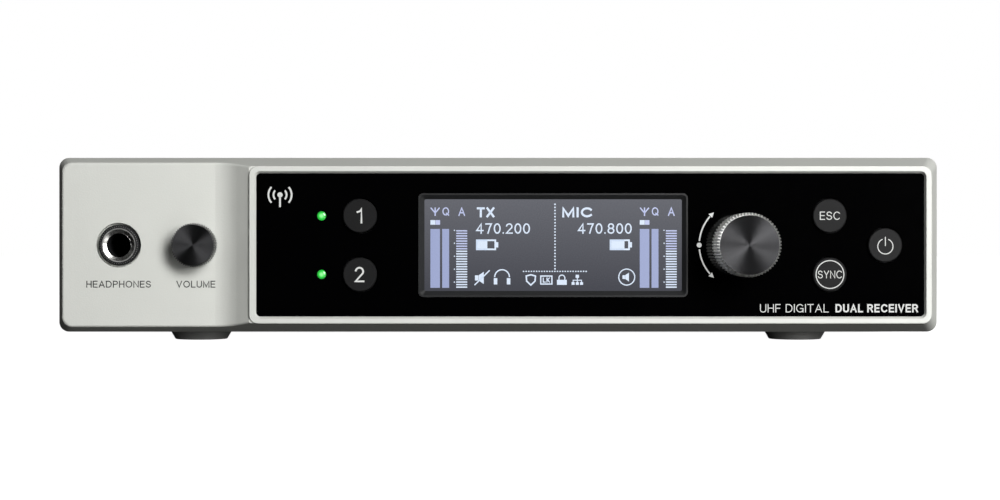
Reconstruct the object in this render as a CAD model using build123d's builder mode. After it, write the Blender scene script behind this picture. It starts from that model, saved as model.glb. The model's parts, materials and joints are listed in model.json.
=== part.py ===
"""Half-rack two-channel wireless microphone receiver, as an assembly of separate pieces.

Frame: millimetres, X to the right as seen from the front, Y towards the rear, Z up.
The origin lies on the surface that the feet stand on, under the middle of the overall box.
"""

import os
from math import cos, pi, sin

from build123d import *

os.makedirs("parts", exist_ok=True)

# ---------------------------------------------------------------- driving dimensions
CASE_W = 212.0  # half of a 19-inch rack, less the ears
CASE_H = 42.0  # the case alone; with the feet it is one rack unit
FOOT_H = 2.4
OVERALL_D = 189.0  # dial face to the tips of the antenna sockets
CORNER_R = 2.4
SHEET = 1.2
FIT_GAP = 0.1

CASE_BOTTOM = FOOT_H
CASE_TOP = FOOT_H + CASE_H
CASE_MID_Z = FOOT_H + CASE_H / 2
PANEL_Z = CASE_MID_Z - 0.1  # the line that all front controls share

# depths along Y, from the front to the rear
DIAL_FACE_Y = -OVERALL_D / 2
WINDOW_Y = DIAL_FACE_Y + 12.5  # front of the black control window
RIM_Y = WINDOW_Y - 0.8  # front of the frame round the window
BLOCK_Y = RIM_Y + 0.5  # front of the bezel's display block
BLOCK_DEPTH = 8.5  # how far that block stands out of the case outline
RECESS = 3.5  # the headphone face lies this far behind the display block
OUTLINE_Y = BLOCK_Y + BLOCK_DEPTH
AUDIO_Y = BLOCK_Y + RECESS
BEZEL_WALL = 2.2
AUDIO_BACK_Y = AUDIO_Y + BEZEL_WALL
BEZEL_REAR_Y = OUTLINE_Y + 5.0
SHEET_FRONT_Y = BEZEL_REAR_Y + 0.2
SHEET_REAR_Y = 81.0
PANEL_OUT_Y = 80.0  # outer face of the rear panel
PANEL_IN_Y = PANEL_OUT_Y - SHEET
SOCKET_TIP_Y = OVERALL_D / 2

# bezel casting
DRAFT_X = 3.12  # lean of the sides over the depth of the block
DRAFT_Z = 2.38
RAMP_FOOT_X = -64.7  # the ramp rises from the headphone face to the display block
RAMP_TOP_X = -59.1
RAMP_R = 10.0
FACE_EDGE_R = 0.6

# control window and its frame, all centred on (WINDOW_X, WINDOW_Z)
WINDOW_X = 21.88
WINDOW_Z = CASE_MID_Z - 0.05
FRAME_SIZE = (161.8, 37.4)
FRAME_R = 2.1
LIP_FRONT = (159.3, 34.95)
LIP_REAR = (158.5, 34.0)
LIP_R = 1.0
WINDOW_SIZE = (159.6, 35.05)
WINDOW_R = 1.3
WINDOW_T = 2.0
WINDOW_BACK_Y = WINDOW_Y + WINDOW_T
SLEEVE_SIZE = (160.7, 36.15)
LEDGE_SIZE = (157.0, 32.4)
SLEEVE_REAR_Y = WINDOW_BACK_Y - 0.05
LEDGE_Y = WINDOW_BACK_Y + 0.1

# display
DISPLAY_X = 13.12
DISPLAY_FRAME = (64.0, 24.65)
DISPLAY_FRAME_R = 1.2
SCREEN_SIZE = (61.2, 21.8)
GLASS_SIZE = (62.6, 23.2)
GLASS_Y = WINDOW_Y + 1.0
GLASS_T = 1.8
CARRIER_SIZE = (70.0, 30.8)

# push buttons and status lights
BUTTON_R = 4.0
BUTTON_HOLE_R = 4.3
BUTTON_PROUD = 1.0
BUTTON_TRAVEL = 0.6
FLANGE_R = 5.0
FLANGE_T = 0.8
FLANGE_Y = WINDOW_BACK_Y + 0.3
STEM_R = 1.6
BUTTON_ROW = 6.96  # height of the button rows above and below the middle
SWITCH_SIZE = 6.0
SWITCH_H = 3.4
BUTTONS = {
    "1": (-32.7, PANEL_Z + BUTTON_ROW),
    "2": (-32.7, PANEL_Z - BUTTON_ROW),
    "escape": (78.6, PANEL_Z + BUTTON_ROW),
    "sync": (78.6, PANEL_Z - BUTTON_ROW),
    "power": (91.72, PANEL_Z),
}
LIGHT_R = 1.03
LIGHTS = [(-41.85, PANEL_Z + BUTTON_ROW), (-41.85, PANEL_Z - BUTTON_ROW)]

# jog dial
DIAL_X = 58.1
DIAL_R = 7.5
DIAL_TEETH = 60
DIAL_REAR_Y = WINDOW_Y - 1.0
DIAL_SHAFT_R = 3.0
KNOB_EDGE = 0.3  # step round the face of both knobs
KNOB_EDGE_IN = 0.35
ENCODER_SIZE = 13.0
ENCODER_FRONT_Y = -78.0
ENCODER_CAVITY_R = 5.0
ENCODER_BUSH_R = 4.2

# volume control
VOLUME_X = -72.2
VOLUME_R = 5.2
VOLUME_TEETH = 64
VOLUME_FACE_Y = AUDIO_Y - 4.9
VOLUME_REAR_Y = AUDIO_Y - 0.6
VOLUME_SHAFT_R = 1.5
VOLUME_BUSH_R = 3.0
VOLUME_NUT_R = 4.0
VOLUME_NUT_T = 1.3
VOLUME_RECESS_R = 4.4  # hollow in the knob's back that clears the bush and nut
RUNNING_GAP = 0.06

# headphone and line sockets take a 6.35 mm plug
PLUG_R = 3.25
PHONES_X = -90.65
PHONES_NOSE_R = 4.4
PHONES_REAR_Y = -46.0
PHONES_BODY_W = 12.5
PHONES_MOUTH_R = 4.15
PHONES_MOUTH_L = 0.9
NUT_R = 4.9
NUT_POCKET_R = 5.35
NUT_POCKET = 1.4

# boards
BOARD_T = 1.6
FRONT_BOARD_Y = -71.5
FRONT_BOARD_X = (-55.0, 97.0)
FRONT_BOARD_Z = (8.0, 39.0)
BOARD_Z = 7.6
BOARD_TOP = BOARD_Z + BOARD_T
BOARD_X = 101.0
BOARD_Y = (-51.0, 76.0)
TONGUE_X = (-95.0, -62.0)
TONGUE_FRONT_Y = -74.0
STANDOFFS = [(x, y) for x in (-90.0, 15.5, 90.0) for y in (-40.0, 58.0)]
BOSS_X = (-52.0, 93.5)
BOSS_Z = (10.5, 36.3)

# rear connectors
ANTENNA_X = {"left": -93.0, "right": 93.0}
ANTENNA_Z = 23.0
ANTENNA_R = 4.8
ANTENNA_BORE_R = 3.9
ANTENNA_FLOOR_Y = 82.0
XLR_X = {"1": -68.0, "2": -19.0}
XLR_Z = 23.4
XLR_FLANGE = (26.0, 31.0)
XLR_SCREWS = [(-9.5, 12.0), (9.5, -12.0)]
XLR_BODY_R = 11.8
XLR_BORE_R = 9.4
XLR_PINS = [(-3.2, 2.2), (3.2, 2.2), (0.0, -3.6)]
XLR_PIN_R = 1.2
LINE_X = {"1": -44.0, "2": 5.0}
LINE_Z = 22.0
LINE_NOSE_R = 5.3
ETHERNET_X = 27.0
ETHERNET_SIZE = (16.4, 13.6)
POWER_X = 48.0
POWER_Z = 15.2
POWER_NOSE_R = 4.4
POWER_BORE_R = 3.0
POWER_PIN_R = 1.0
HOOK_X = 63.0
HOOK_Z = 23.0

# case joints
PARTING_Z = 9.0
INSIDE_X = CASE_W / 2 - SHEET
TAB_Y = (-40.0, 10.0, 60.0)
TAB_SCREW_Z = 16.0
FLANGE_SCREW = (74.5, 30.0)  # Y and Z of the screws into the rear panel's side flanges
LUG_SCREW_Y = -60.0  # these two on each side also hold a rack ear
LUG_SCREW_Z = (15.4, 31.4)
BOTTOM_SCREW_X = (-40.0, 0.0, 40.0)
BOTTOM_SCREW_Y = (-65.5, 73.5)
FOOT_X = 74.1
FOOT_Y = (-58.0, 60.0)
SCREW_HEAD_R = 2.6
SCREW_R = 1.25
THREAD_R = 1.27


# ---------------------------------------------------------------- helpers
def front(y):
    """Sketch plane at depth y that faces forwards: local x is X, local y is Z."""
    return Plane(origin=(0, y, 0), x_dir=(1, 0, 0), z_dir=(0, -1, 0))


def write(builder, name):
    """Labels the finished piece and writes its STEP file."""
    builder.part.label = name
    export_step(builder.part, f"parts/{name}.step")


def rod(x, z, radius, y_front, y_rear, mode=Mode.ADD):
    """A cylinder along Y between two depths, on the axis at (x, z)."""
    with BuildSketch(front(y_rear)) as profile:
        with Locations((x, z)):
            Circle(radius)
    extrude(profile.sketch, amount=y_rear - y_front, mode=mode)


def slab(centre, size, radius, y_front, y_rear, mode=Mode.ADD):
    """A plate with rounded corners between two depths, centred on (x, z)."""
    with BuildSketch(front(y_rear)) as profile:
        with Locations(centre):
            RectangleRounded(*size, radius)
    extrude(profile.sketch, amount=y_rear - y_front, mode=mode)


def hexagon(x, z, radius, y_front, y_rear):
    """A hexagonal prism along Y with its corners on the given radius."""
    with BuildSketch(front(y_rear)) as profile:
        with Locations((x, z)):
            RegularPolygon(radius, 6)
    extrude(profile.sketch, amount=y_rear - y_front)


def block(x, y, z, mode=Mode.ADD):
    """A box given by its three (low, high) pairs."""
    with Locations((x[0], y[0], z[0])):
        Box(x[1] - x[0], y[1] - y[0], z[1] - z[0], align=(Align.MIN, Align.MIN, Align.MIN), mode=mode)


def knurled_rod(x, z, radius, teeth, y_front, y_rear):
    """A straight-knurled cylinder along Y: V-shaped ridges round its rim."""
    step = pi / teeth
    depth = 0.6 * radius * step
    radii = [radius, radius - depth] * teeth
    points = [(r * cos(i * step), r * sin(i * step)) for i, r in enumerate(radii)]
    with BuildSketch(front(y_rear)) as profile:
        with Locations((x, z)):
            Polygon(*points, align=None)
    extrude(profile.sketch, amount=y_rear - y_front)


def countersunk_screw(length):
    """A countersunk screw: head face at the origin, shank down -Z, cross recess."""
    with BuildPart(mode=Mode.PRIVATE) as screw:
        cone_h = SCREW_HEAD_R - SCREW_R
        with Locations((0, 0, -cone_h / 2)):
            Cone(SCREW_R, SCREW_HEAD_R, cone_h)
        with BuildSketch(Plane.XY.offset(-cone_h)):
            Circle(SCREW_R)
        extrude(amount=cone_h - length)
        cross_recess()
    return screw.part


def pan_screw(length):
    """A pan-head screw: underside of the head at the origin, shank down -Z."""
    head_h = 1.8
    with BuildPart(mode=Mode.PRIVATE) as screw:
        with BuildSketch(Plane.XY):
            Circle(SCREW_HEAD_R)
        extrude(amount=head_h)
        fillet(screw.edges().sort_by(Axis.Z)[-1], 0.7)
        with BuildSketch(Plane.XY):
            Circle(SCREW_R)
        extrude(amount=-length)
        cross_recess(head_h)
    return screw.part


def cross_recess(face_z=0.0):
    """Cuts a cross-shaped driver recess into a screw head."""
    with BuildSketch(Plane.XY.offset(face_z)) as cross:
        Rectangle(0.6, 2.6)
        Rectangle(2.6, 0.6)
    extrude(cross.sketch, amount=-0.8, mode=Mode.SUBTRACT)


def side_plane(side, y, z):
    """Plane on the outside of the left (-1) or right (1) wall, facing outwards."""
    return Plane(origin=(side * CASE_W / 2, y, z), z_dir=(side, 0, 0))


def bottom_plane(x, y):
    """Plane on the underside of the case, facing down."""
    return Plane(origin=(x, y, CASE_BOTTOM), z_dir=(0, 0, -1))


def drill(planes, radius, depth):
    """Cuts a plain hole into the part below each plane."""
    for plane in planes:
        with BuildSketch(plane) as profile:
            Circle(radius)
        extrude(profile.sketch, amount=-depth, mode=Mode.SUBTRACT)


def countersink(planes):
    """Cuts a countersunk clearance hole through the sheet below each plane."""
    drill(planes, SCREW_R + 0.15, SHEET + 0.2)
    head_h = SCREW_HEAD_R - SCREW_R
    for plane in planes:
        with Locations(plane.offset(-head_h / 2)):
            Cone(SCREW_R + 0.1, SCREW_HEAD_R + 0.1, head_h, mode=Mode.SUBTRACT)


TAB_SCREWS = [side_plane(side, y, TAB_SCREW_Z) for side in (-1, 1) for y in TAB_Y]
FLANGE_SCREWS = [side_plane(side, *FLANGE_SCREW) for side in (-1, 1)]
LUG_SCREWS = [side_plane(side, LUG_SCREW_Y, z) for side in (-1, 1) for z in LUG_SCREW_Z]
COVER_SCREWS = TAB_SCREWS + FLANGE_SCREWS + LUG_SCREWS
BOTTOM_SCREWS = [bottom_plane(x, y) for x in BOTTOM_SCREW_X for y in BOTTOM_SCREW_Y]

# ---------------------------------------------------------------- front bezel
with BuildPart() as front_bezel:
    slab((0, CASE_MID_Z), (CASE_W, CASE_H), CORNER_R, OUTLINE_Y, BEZEL_REAR_Y)
    with BuildSketch(front(OUTLINE_Y)):
        with Locations((0, CASE_MID_Z)):
            RectangleRounded(CASE_W, CASE_H, CORNER_R)
    with BuildSketch(front(BLOCK_Y)):
        with Locations((0, CASE_MID_Z)):
            RectangleRounded(CASE_W - 2 * DRAFT_X, CASE_H - 2 * DRAFT_Z, CORNER_R)
    loft(ruled=True)
    # the lower headphone face and the ramp that leads up to the display block
    with BuildSketch(Plane.XY) as step_profile:
        with BuildLine():
            Polyline(
                (-CASE_W, AUDIO_Y),
                (RAMP_FOOT_X, AUDIO_Y),
                (RAMP_TOP_X, BLOCK_Y),
                (RAMP_TOP_X, BLOCK_Y - 1),
                (-CASE_W, BLOCK_Y - 1),
                close=True,
            )
        make_face()
        fillet(step_profile.vertices().sort_by_distance((RAMP_FOOT_X, AUDIO_Y, 0))[0], RAMP_R)
    extrude(amount=CASE_TOP + 1, mode=Mode.SUBTRACT)

    def is_face_edge(edge):
        """True for the outline of the headphone face and of the ramp."""
        box = edge.bounding_box()
        ahead = box.max.Y < AUDIO_Y + 0.05 and box.max.X < RAMP_TOP_X + 0.05
        across = box.size.Z > CASE_H / 2 and box.min.X > RAMP_FOOT_X - RAMP_R
        return ahead and not across

    fillet(front_bezel.edges().filter_by(is_face_edge), FACE_EDGE_R)
    # hollow from the rear
    inner_w = CASE_W - 2 * BEZEL_WALL
    inner_h = CASE_H - 2 * BEZEL_WALL
    hollow_rise = (OUTLINE_Y - AUDIO_BACK_Y) / BLOCK_DEPTH
    slab((0, CASE_MID_Z), (inner_w, inner_h), 0.6, OUTLINE_Y, BEZEL_REAR_Y, mode=Mode.SUBTRACT)
    with BuildSketch(front(OUTLINE_Y)):
        with Locations((0, CASE_MID_Z)):
            RectangleRounded(inner_w, inner_h, 0.6)
    with BuildSketch(front(AUDIO_BACK_Y)):
        with Locations((0, CASE_MID_Z)):
            RectangleRounded(inner_w - 2 * DRAFT_X * hollow_rise, inner_h - 2 * DRAFT_Z * hollow_rise, 0.6)
    loft(ruled=True, mode=Mode.SUBTRACT)
    # bosses behind the window for the front board
    for x in BOSS_X:
        block((x - 3.5, x + 3.5), (AUDIO_BACK_Y - 0.5, FRONT_BOARD_Y), (CASE_BOTTOM + 1.6, BOSS_Z[0] + 2.5))
        block((x - 3.5, x + 3.5), (AUDIO_BACK_Y - 0.5, FRONT_BOARD_Y), (BOSS_Z[1] - 2.5, CASE_TOP - 1.6))
        for z in BOSS_Z:
            rod(x, z, THREAD_R, FRONT_BOARD_Y - 5.2, FRONT_BOARD_Y, mode=Mode.SUBTRACT)
    # pocket for the window frame, and the ledge behind it
    window_middle = (WINDOW_X, WINDOW_Z)
    pocket = (SLEEVE_SIZE[0] + 2 * FIT_GAP, SLEEVE_SIZE[1] + 2 * FIT_GAP)
    slab(window_middle, pocket, 1.6, BLOCK_Y - 1, LEDGE_Y, mode=Mode.SUBTRACT)
    slab(window_middle, LEDGE_SIZE, 1.6, BLOCK_Y - 1, AUDIO_BACK_Y, mode=Mode.SUBTRACT)
    # holes of the volume control and the headphone socket
    rod(VOLUME_X, PANEL_Z, VOLUME_BUSH_R + FIT_GAP, AUDIO_Y - 1, OUTLINE_Y, mode=Mode.SUBTRACT)
    rod(PHONES_X, PANEL_Z, PHONES_NOSE_R + FIT_GAP, AUDIO_Y - 1, OUTLINE_Y, mode=Mode.SUBTRACT)
    rod(PHONES_X, PANEL_Z, NUT_POCKET_R, AUDIO_Y - 1, AUDIO_Y + NUT_POCKET, mode=Mode.SUBTRACT)
    # side lugs that the cover is screwed to, and rack ears with it
    for side in (-1, 1):
        outer = side * (INSIDE_X - 2 * FIT_GAP)
        lug_x = sorted((outer, outer - side * 7.0))
        block(lug_x, (BEZEL_REAR_Y - 3, -53.0), (10.0, 36.8))
    drill(LUG_SCREWS, THREAD_R, 6.0)
    # tongue that the tray is screwed to from below
    tongue_z = (CASE_BOTTOM + SHEET + 0.2, BOARD_Z - 0.4)
    block((-55.0, 55.0), (BEZEL_REAR_Y - 1.0, -62.0), tongue_z)
    block((-55.0, 55.0), (BEZEL_REAR_Y - 3.0, BEZEL_REAR_Y), (CASE_BOTTOM + 2.0, tongue_z[1]))
    drill([bottom_plane(x, BOTTOM_SCREW_Y[0]) for x in BOTTOM_SCREW_X], THREAD_R, 6.0)
write(front_bezel, "front_bezel")

# ---------------------------------------------------------------- window frame
with BuildPart() as window_frame:
    slab(window_middle, FRAME_SIZE, FRAME_R, RIM_Y, BLOCK_Y)
    fillet(window_frame.faces().sort_by(Axis.Y)[0].edges(), 0.25)
    slab(window_middle, SLEEVE_SIZE, 1.5, BLOCK_Y, SLEEVE_REAR_Y)
    slab(window_middle, (WINDOW_SIZE[0] + 0.1, WINDOW_SIZE[1] + 0.1), WINDOW_R, WINDOW_Y, SLEEVE_REAR_Y,
         mode=Mode.SUBTRACT)
    for y, size, radius in ((WINDOW_Y, LIP_REAR, LIP_R), (RIM_Y, LIP_FRONT, LIP_R + 0.4)):
        with BuildSketch(front(y)):
            with Locations(window_middle):
                RectangleRounded(*size, radius)
    loft(ruled=True, mode=Mode.SUBTRACT)
write(window_frame, "window_frame")

# ---------------------------------------------------------------- control window
with BuildPart() as control_window:
    slab(window_middle, WINDOW_SIZE, WINDOW_R, WINDOW_Y, WINDOW_BACK_Y)
    slab((DISPLAY_X, PANEL_Z), (DISPLAY_FRAME[0] + FIT_GAP, DISPLAY_FRAME[1] + FIT_GAP), DISPLAY_FRAME_R,
         WINDOW_Y, WINDOW_BACK_Y, mode=Mode.SUBTRACT)
    for x, z in BUTTONS.values():
        rod(x, z, BUTTON_HOLE_R, WINDOW_Y, WINDOW_BACK_Y, mode=Mode.SUBTRACT)
    for x, z in LIGHTS:
        rod(x, z, LIGHT_R + 0.05, WINDOW_Y, WINDOW_BACK_Y, mode=Mode.SUBTRACT)
    rod(DIAL_X, PANEL_Z, DIAL_SHAFT_R + 0.5, WINDOW_Y, WINDOW_BACK_Y, mode=Mode.SUBTRACT)
write(control_window, "control_window")

# ---------------------------------------------------------------- display
CARRIER_FRONT_Y = GLASS_Y + GLASS_T + 0.05
with BuildPart() as display_bezel:
    spot = (DISPLAY_X, PANEL_Z)
    slab(spot, DISPLAY_FRAME, DISPLAY_FRAME_R, WINDOW_Y + 0.2, WINDOW_BACK_Y + 0.1)
    slab(spot, (67.0, 28.0), DISPLAY_FRAME_R, WINDOW_BACK_Y + 0.1, CARRIER_FRONT_Y - 0.05)
    slab(spot, GLASS_SIZE, 0.5, GLASS_Y, CARRIER_FRONT_Y, mode=Mode.SUBTRACT)
    for y, grow, radius in ((GLASS_Y, 0.0, 0.4), (WINDOW_Y + 0.2, 2.0, 0.9)):
        with BuildSketch(front(y)):
            with Locations(spot):
                RectangleRounded(SCREEN_SIZE[0] + grow, SCREEN_SIZE[1] + grow, radius)
    loft(ruled=True, mode=Mode.SUBTRACT)
write(display_bezel, "display_bezel")

with BuildPart() as display_glass:
    slab(spot, (GLASS_SIZE[0] - 0.1, GLASS_SIZE[1] - 0.1), 0.45, GLASS_Y, GLASS_Y + GLASS_T)
write(display_glass, "display_glass")

with BuildPart() as display_carrier:
    slab(spot, CARRIER_SIZE, 1.0, CARRIER_FRONT_Y, CARRIER_FRONT_Y + 4.0)
    with BuildSketch(front(FRONT_BOARD_Y)):
        with Locations(spot):
            with GridLocations(CARRIER_SIZE[0] - 6, CARRIER_SIZE[1] - 6, 2, 2):
                Circle(1.8)
    extrude(amount=FRONT_BOARD_Y - CARRIER_FRONT_Y - 2.0)
write(display_carrier, "display_carrier")

# ---------------------------------------------------------------- status lights
with BuildPart() as light_pipes:
    for x, z in LIGHTS:
        rod(x, z, LIGHT_R, WINDOW_Y, FRONT_BOARD_Y - 0.8)
        rod(x, z, LIGHT_R + 0.6, WINDOW_BACK_Y + 0.05, WINDOW_BACK_Y + 0.8)
write(light_pipes, "light_pipes")

with BuildPart() as status_leds:
    for x, z in LIGHTS:
        block((x - 1.0, x + 1.0), (FRONT_BOARD_Y - 0.8, FRONT_BOARD_Y), (z - 0.7, z + 0.7))
write(status_leds, "status_leds")

# ---------------------------------------------------------------- push buttons
SWITCH_FRONT_Y = FRONT_BOARD_Y - SWITCH_H
SWITCH_FLOOR_Y = FRONT_BOARD_Y - 1.3
for name, (x, z) in BUTTONS.items():
    with BuildPart() as button:
        rod(x, z, BUTTON_R, WINDOW_Y - BUTTON_PROUD, FLANGE_Y)
        chamfer(button.faces().sort_by(Axis.Y)[0].edges(), 0.2)
        rod(x, z, FLANGE_R, FLANGE_Y, FLANGE_Y + FLANGE_T)
        rod(x, z, STEM_R, FLANGE_Y, SWITCH_FLOOR_Y - BUTTON_TRAVEL - 0.4)
    write(button, f"button_{name}")

with BuildPart() as button_switches:
    for x, z in BUTTONS.values():
        slab((x, z), (SWITCH_SIZE, SWITCH_SIZE), 0.3, SWITCH_FRONT_Y, FRONT_BOARD_Y)
        rod(x, z, STEM_R + 0.08, SWITCH_FRONT_Y, SWITCH_FLOOR_Y, mode=Mode.SUBTRACT)
write(button_switches, "button_switches")

# ---------------------------------------------------------------- jog dial
CAVITY_FRONT_Y = ENCODER_FRONT_Y + 1.0
with BuildPart() as encoder_housing:
    slab((DIAL_X, PANEL_Z), (ENCODER_SIZE, ENCODER_SIZE), 0.5, ENCODER_FRONT_Y, FRONT_BOARD_Y)
    rod(DIAL_X, PANEL_Z, ENCODER_BUSH_R, WINDOW_BACK_Y + 0.2, ENCODER_FRONT_Y)
    rod(DIAL_X, PANEL_Z, ENCODER_CAVITY_R, CAVITY_FRONT_Y, FRONT_BOARD_Y - 1.5, mode=Mode.SUBTRACT)
    rod(DIAL_X, PANEL_Z, DIAL_SHAFT_R + RUNNING_GAP, WINDOW_BACK_Y, CAVITY_FRONT_Y, mode=Mode.SUBTRACT)
write(encoder_housing, "encoder_housing")

with BuildPart() as encoder_rotor:
    rod(DIAL_X, PANEL_Z, ENCODER_CAVITY_R - 0.3, CAVITY_FRONT_Y + 0.3, CAVITY_FRONT_Y + 1.5)
    rod(DIAL_X, PANEL_Z, DIAL_SHAFT_R + RUNNING_GAP, CAVITY_FRONT_Y, CAVITY_FRONT_Y + 1.6,
        mode=Mode.SUBTRACT)
write(encoder_rotor, "encoder_rotor")

DIAL_SHAFT_FRONT_Y = DIAL_REAR_Y - 7.0
with BuildPart() as encoder_shaft:
    rod(DIAL_X, PANEL_Z, DIAL_SHAFT_R, DIAL_SHAFT_FRONT_Y, FRONT_BOARD_Y - 2.7)
write(encoder_shaft, "encoder_shaft")

with BuildPart() as encoder_knob:
    knurled_rod(DIAL_X, PANEL_Z, DIAL_R, DIAL_TEETH, DIAL_FACE_Y + KNOB_EDGE, DIAL_REAR_Y)
    rod(DIAL_X, PANEL_Z, DIAL_R - KNOB_EDGE_IN, DIAL_FACE_Y, DIAL_FACE_Y + KNOB_EDGE)
    rod(DIAL_X, PANEL_Z, DIAL_SHAFT_R, DIAL_SHAFT_FRONT_Y, DIAL_REAR_Y, mode=Mode.SUBTRACT)
write(encoder_knob, "encoder_knob")

# ---------------------------------------------------------------- volume control
POT_REAR_Y = AUDIO_BACK_Y + 5.6
POT_CAVITY_Y = (AUDIO_BACK_Y + 1.0, POT_REAR_Y - 1.2)
BUSH_FRONT_Y = AUDIO_Y - 1.8
with BuildPart() as volume_pot:
    slab((VOLUME_X, PANEL_Z), (9.6, 11.0), 0.5, AUDIO_BACK_Y, POT_REAR_Y)
    for offset_x in (-2.5, 0.0, 2.5):
        pin_x = VOLUME_X + offset_x
        block((pin_x - 0.4, pin_x + 0.4), (POT_REAR_Y - 1.0, POT_REAR_Y - 0.4), (BOARD_TOP, PANEL_Z - 5))
    rod(VOLUME_X, PANEL_Z, VOLUME_BUSH_R, BUSH_FRONT_Y, AUDIO_BACK_Y)
    rod(VOLUME_X, PANEL_Z, 4.0, *POT_CAVITY_Y, mode=Mode.SUBTRACT)
    rod(VOLUME_X, PANEL_Z, VOLUME_SHAFT_R + RUNNING_GAP, BUSH_FRONT_Y, POT_CAVITY_Y[0],
        mode=Mode.SUBTRACT)
write(volume_pot, "volume_pot")

with BuildPart() as volume_nut:
    hexagon(VOLUME_X, PANEL_Z, VOLUME_NUT_R, AUDIO_Y - VOLUME_NUT_T, AUDIO_Y)
    rod(VOLUME_X, PANEL_Z, VOLUME_BUSH_R + 0.02, AUDIO_Y - VOLUME_NUT_T, AUDIO_Y, mode=Mode.SUBTRACT)
write(volume_nut, "volume_nut")

RECESS_Y = BUSH_FRONT_Y - 0.3
SHAFT_FRONT_Y = VOLUME_FACE_Y + 1.2
with BuildPart() as volume_shaft:
    rod(VOLUME_X, PANEL_Z, VOLUME_SHAFT_R, SHAFT_FRONT_Y, POT_CAVITY_Y[1] - 1.0)
    rod(VOLUME_X, PANEL_Z, 3.6, POT_CAVITY_Y[0] + 0.4, POT_CAVITY_Y[0] + 1.4)
write(volume_shaft, "volume_shaft")

with BuildPart() as volume_knob:
    knurled_rod(VOLUME_X, PANEL_Z, VOLUME_R, VOLUME_TEETH, VOLUME_FACE_Y + KNOB_EDGE, VOLUME_REAR_Y)
    rod(VOLUME_X, PANEL_Z, VOLUME_R - KNOB_EDGE_IN, VOLUME_FACE_Y, VOLUME_FACE_Y + KNOB_EDGE)
    rod(VOLUME_X, PANEL_Z, VOLUME_RECESS_R, RECESS_Y, VOLUME_REAR_Y, mode=Mode.SUBTRACT)
    rod(VOLUME_X, PANEL_Z, VOLUME_SHAFT_R, SHAFT_FRONT_Y, VOLUME_REAR_Y, mode=Mode.SUBTRACT)
write(volume_knob, "volume_knob")

# ---------------------------------------------------------------- headphone socket
PHONES_TIP_Y = AUDIO_Y - 0.1
CONTACTS_Y = (-68.0, -60.0, -52.0)
with BuildPart() as phones_socket:
    body_x = (PHONES_X - PHONES_BODY_W / 2, PHONES_X + PHONES_BODY_W / 2)
    block(body_x, (AUDIO_BACK_Y, PHONES_REAR_Y), (BOARD_TOP, PANEL_Z + 7))
    rod(PHONES_X, PANEL_Z, PHONES_NOSE_R, PHONES_TIP_Y, AUDIO_BACK_Y)
    rod(PHONES_X, PANEL_Z, PLUG_R, PHONES_TIP_Y, PHONES_REAR_Y - 1.9, mode=Mode.SUBTRACT)
    for y, radius in ((PHONES_TIP_Y, PHONES_MOUTH_R), (PHONES_TIP_Y + PHONES_MOUTH_L, PLUG_R)):
        with BuildSketch(front(y)):
            with Locations((PHONES_X, PANEL_Z)):
                Circle(radius)
    loft(mode=Mode.SUBTRACT)
    for y in CONTACTS_Y:
        block((PHONES_X - 0.8, PHONES_X + 0.8), (y - 2.0, y + 2.0), (PANEL_Z + 2.5, PANEL_Z + 8),
              mode=Mode.SUBTRACT)
write(phones_socket, "phones_socket")

with BuildPart() as phones_nut:
    rod(PHONES_X, PANEL_Z, NUT_R, AUDIO_Y, AUDIO_Y + NUT_POCKET)
    rod(PHONES_X, PANEL_Z, PHONES_NOSE_R + 0.02, AUDIO_Y, AUDIO_Y + NUT_POCKET, mode=Mode.SUBTRACT)
write(phones_nut, "phones_nut")

with BuildPart() as phones_contacts:
    for y in CONTACTS_Y:
        block((PHONES_X - 0.8, PHONES_X + 0.8), (y - 1.7, y + 1.7), (PANEL_Z + 3.4, PANEL_Z + 3.8))
        block((PHONES_X - 0.8, PHONES_X + 0.8), (y + 1.3, y + 1.7), (PANEL_Z + 3.4, PANEL_Z + 8))
write(phones_contacts, "phones_contacts")

# ---------------------------------------------------------------- boards
with BuildPart() as front_board:
    block(FRONT_BOARD_X, (FRONT_BOARD_Y, FRONT_BOARD_Y + BOARD_T), FRONT_BOARD_Z)
    for x in BOSS_X:
        for z in BOSS_Z:
            rod(x, z, SCREW_R + 0.15, FRONT_BOARD_Y, FRONT_BOARD_Y + BOARD_T, mode=Mode.SUBTRACT)
write(front_board, "front_board")

with BuildPart() as front_board_screws:
    board_screw = pan_screw(6.0)
    back = FRONT_BOARD_Y + BOARD_T
    with Locations(*[Plane(origin=(x, back, z), z_dir=(0, 1, 0)) for x in BOSS_X for z in BOSS_Z]):
        add(board_screw)
write(front_board_screws, "front_board_screws")

with BuildPart() as main_board:
    block((-BOARD_X, BOARD_X), BOARD_Y, (BOARD_Z, BOARD_TOP))
    block(TONGUE_X, (TONGUE_FRONT_Y, BOARD_Y[0]), (BOARD_Z, BOARD_TOP))
    with BuildSketch(Plane.XY.offset(BOARD_Z)):
        with Locations(*STANDOFFS):
            Circle(SCREW_R + 0.2)
    extrude(amount=BOARD_T, mode=Mode.SUBTRACT)
write(main_board, "main_board")

TRAY_TOP = CASE_BOTTOM + SHEET
with BuildPart() as board_standoffs:
    with BuildSketch(Plane.XY.offset(TRAY_TOP)):
        with Locations(*STANDOFFS):
            RegularPolygon(3.0, 6)
            Circle(THREAD_R, mode=Mode.SUBTRACT)
    extrude(amount=BOARD_Z - TRAY_TOP)
write(board_standoffs, "board_standoffs")

with BuildPart() as board_screws:
    short_screw = pan_screw(5.0)
    with Locations(*[(x, y, BOARD_TOP) for x, y in STANDOFFS]):
        add(short_screw)
write(board_screws, "board_screws")

for name, side in (("left", -1), ("right", 1)):
    with BuildPart() as rf_shield:
        shield_x = sorted((side * 66.0, side * 99.0))
        block(shield_x, (0.0, 46.0), (BOARD_TOP, BOARD_TOP + 6.0))
        offset(amount=-0.4, openings=rf_shield.faces().sort_by(Axis.Z)[0])
    write(rf_shield, f"rf_shield_{name}")

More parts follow.
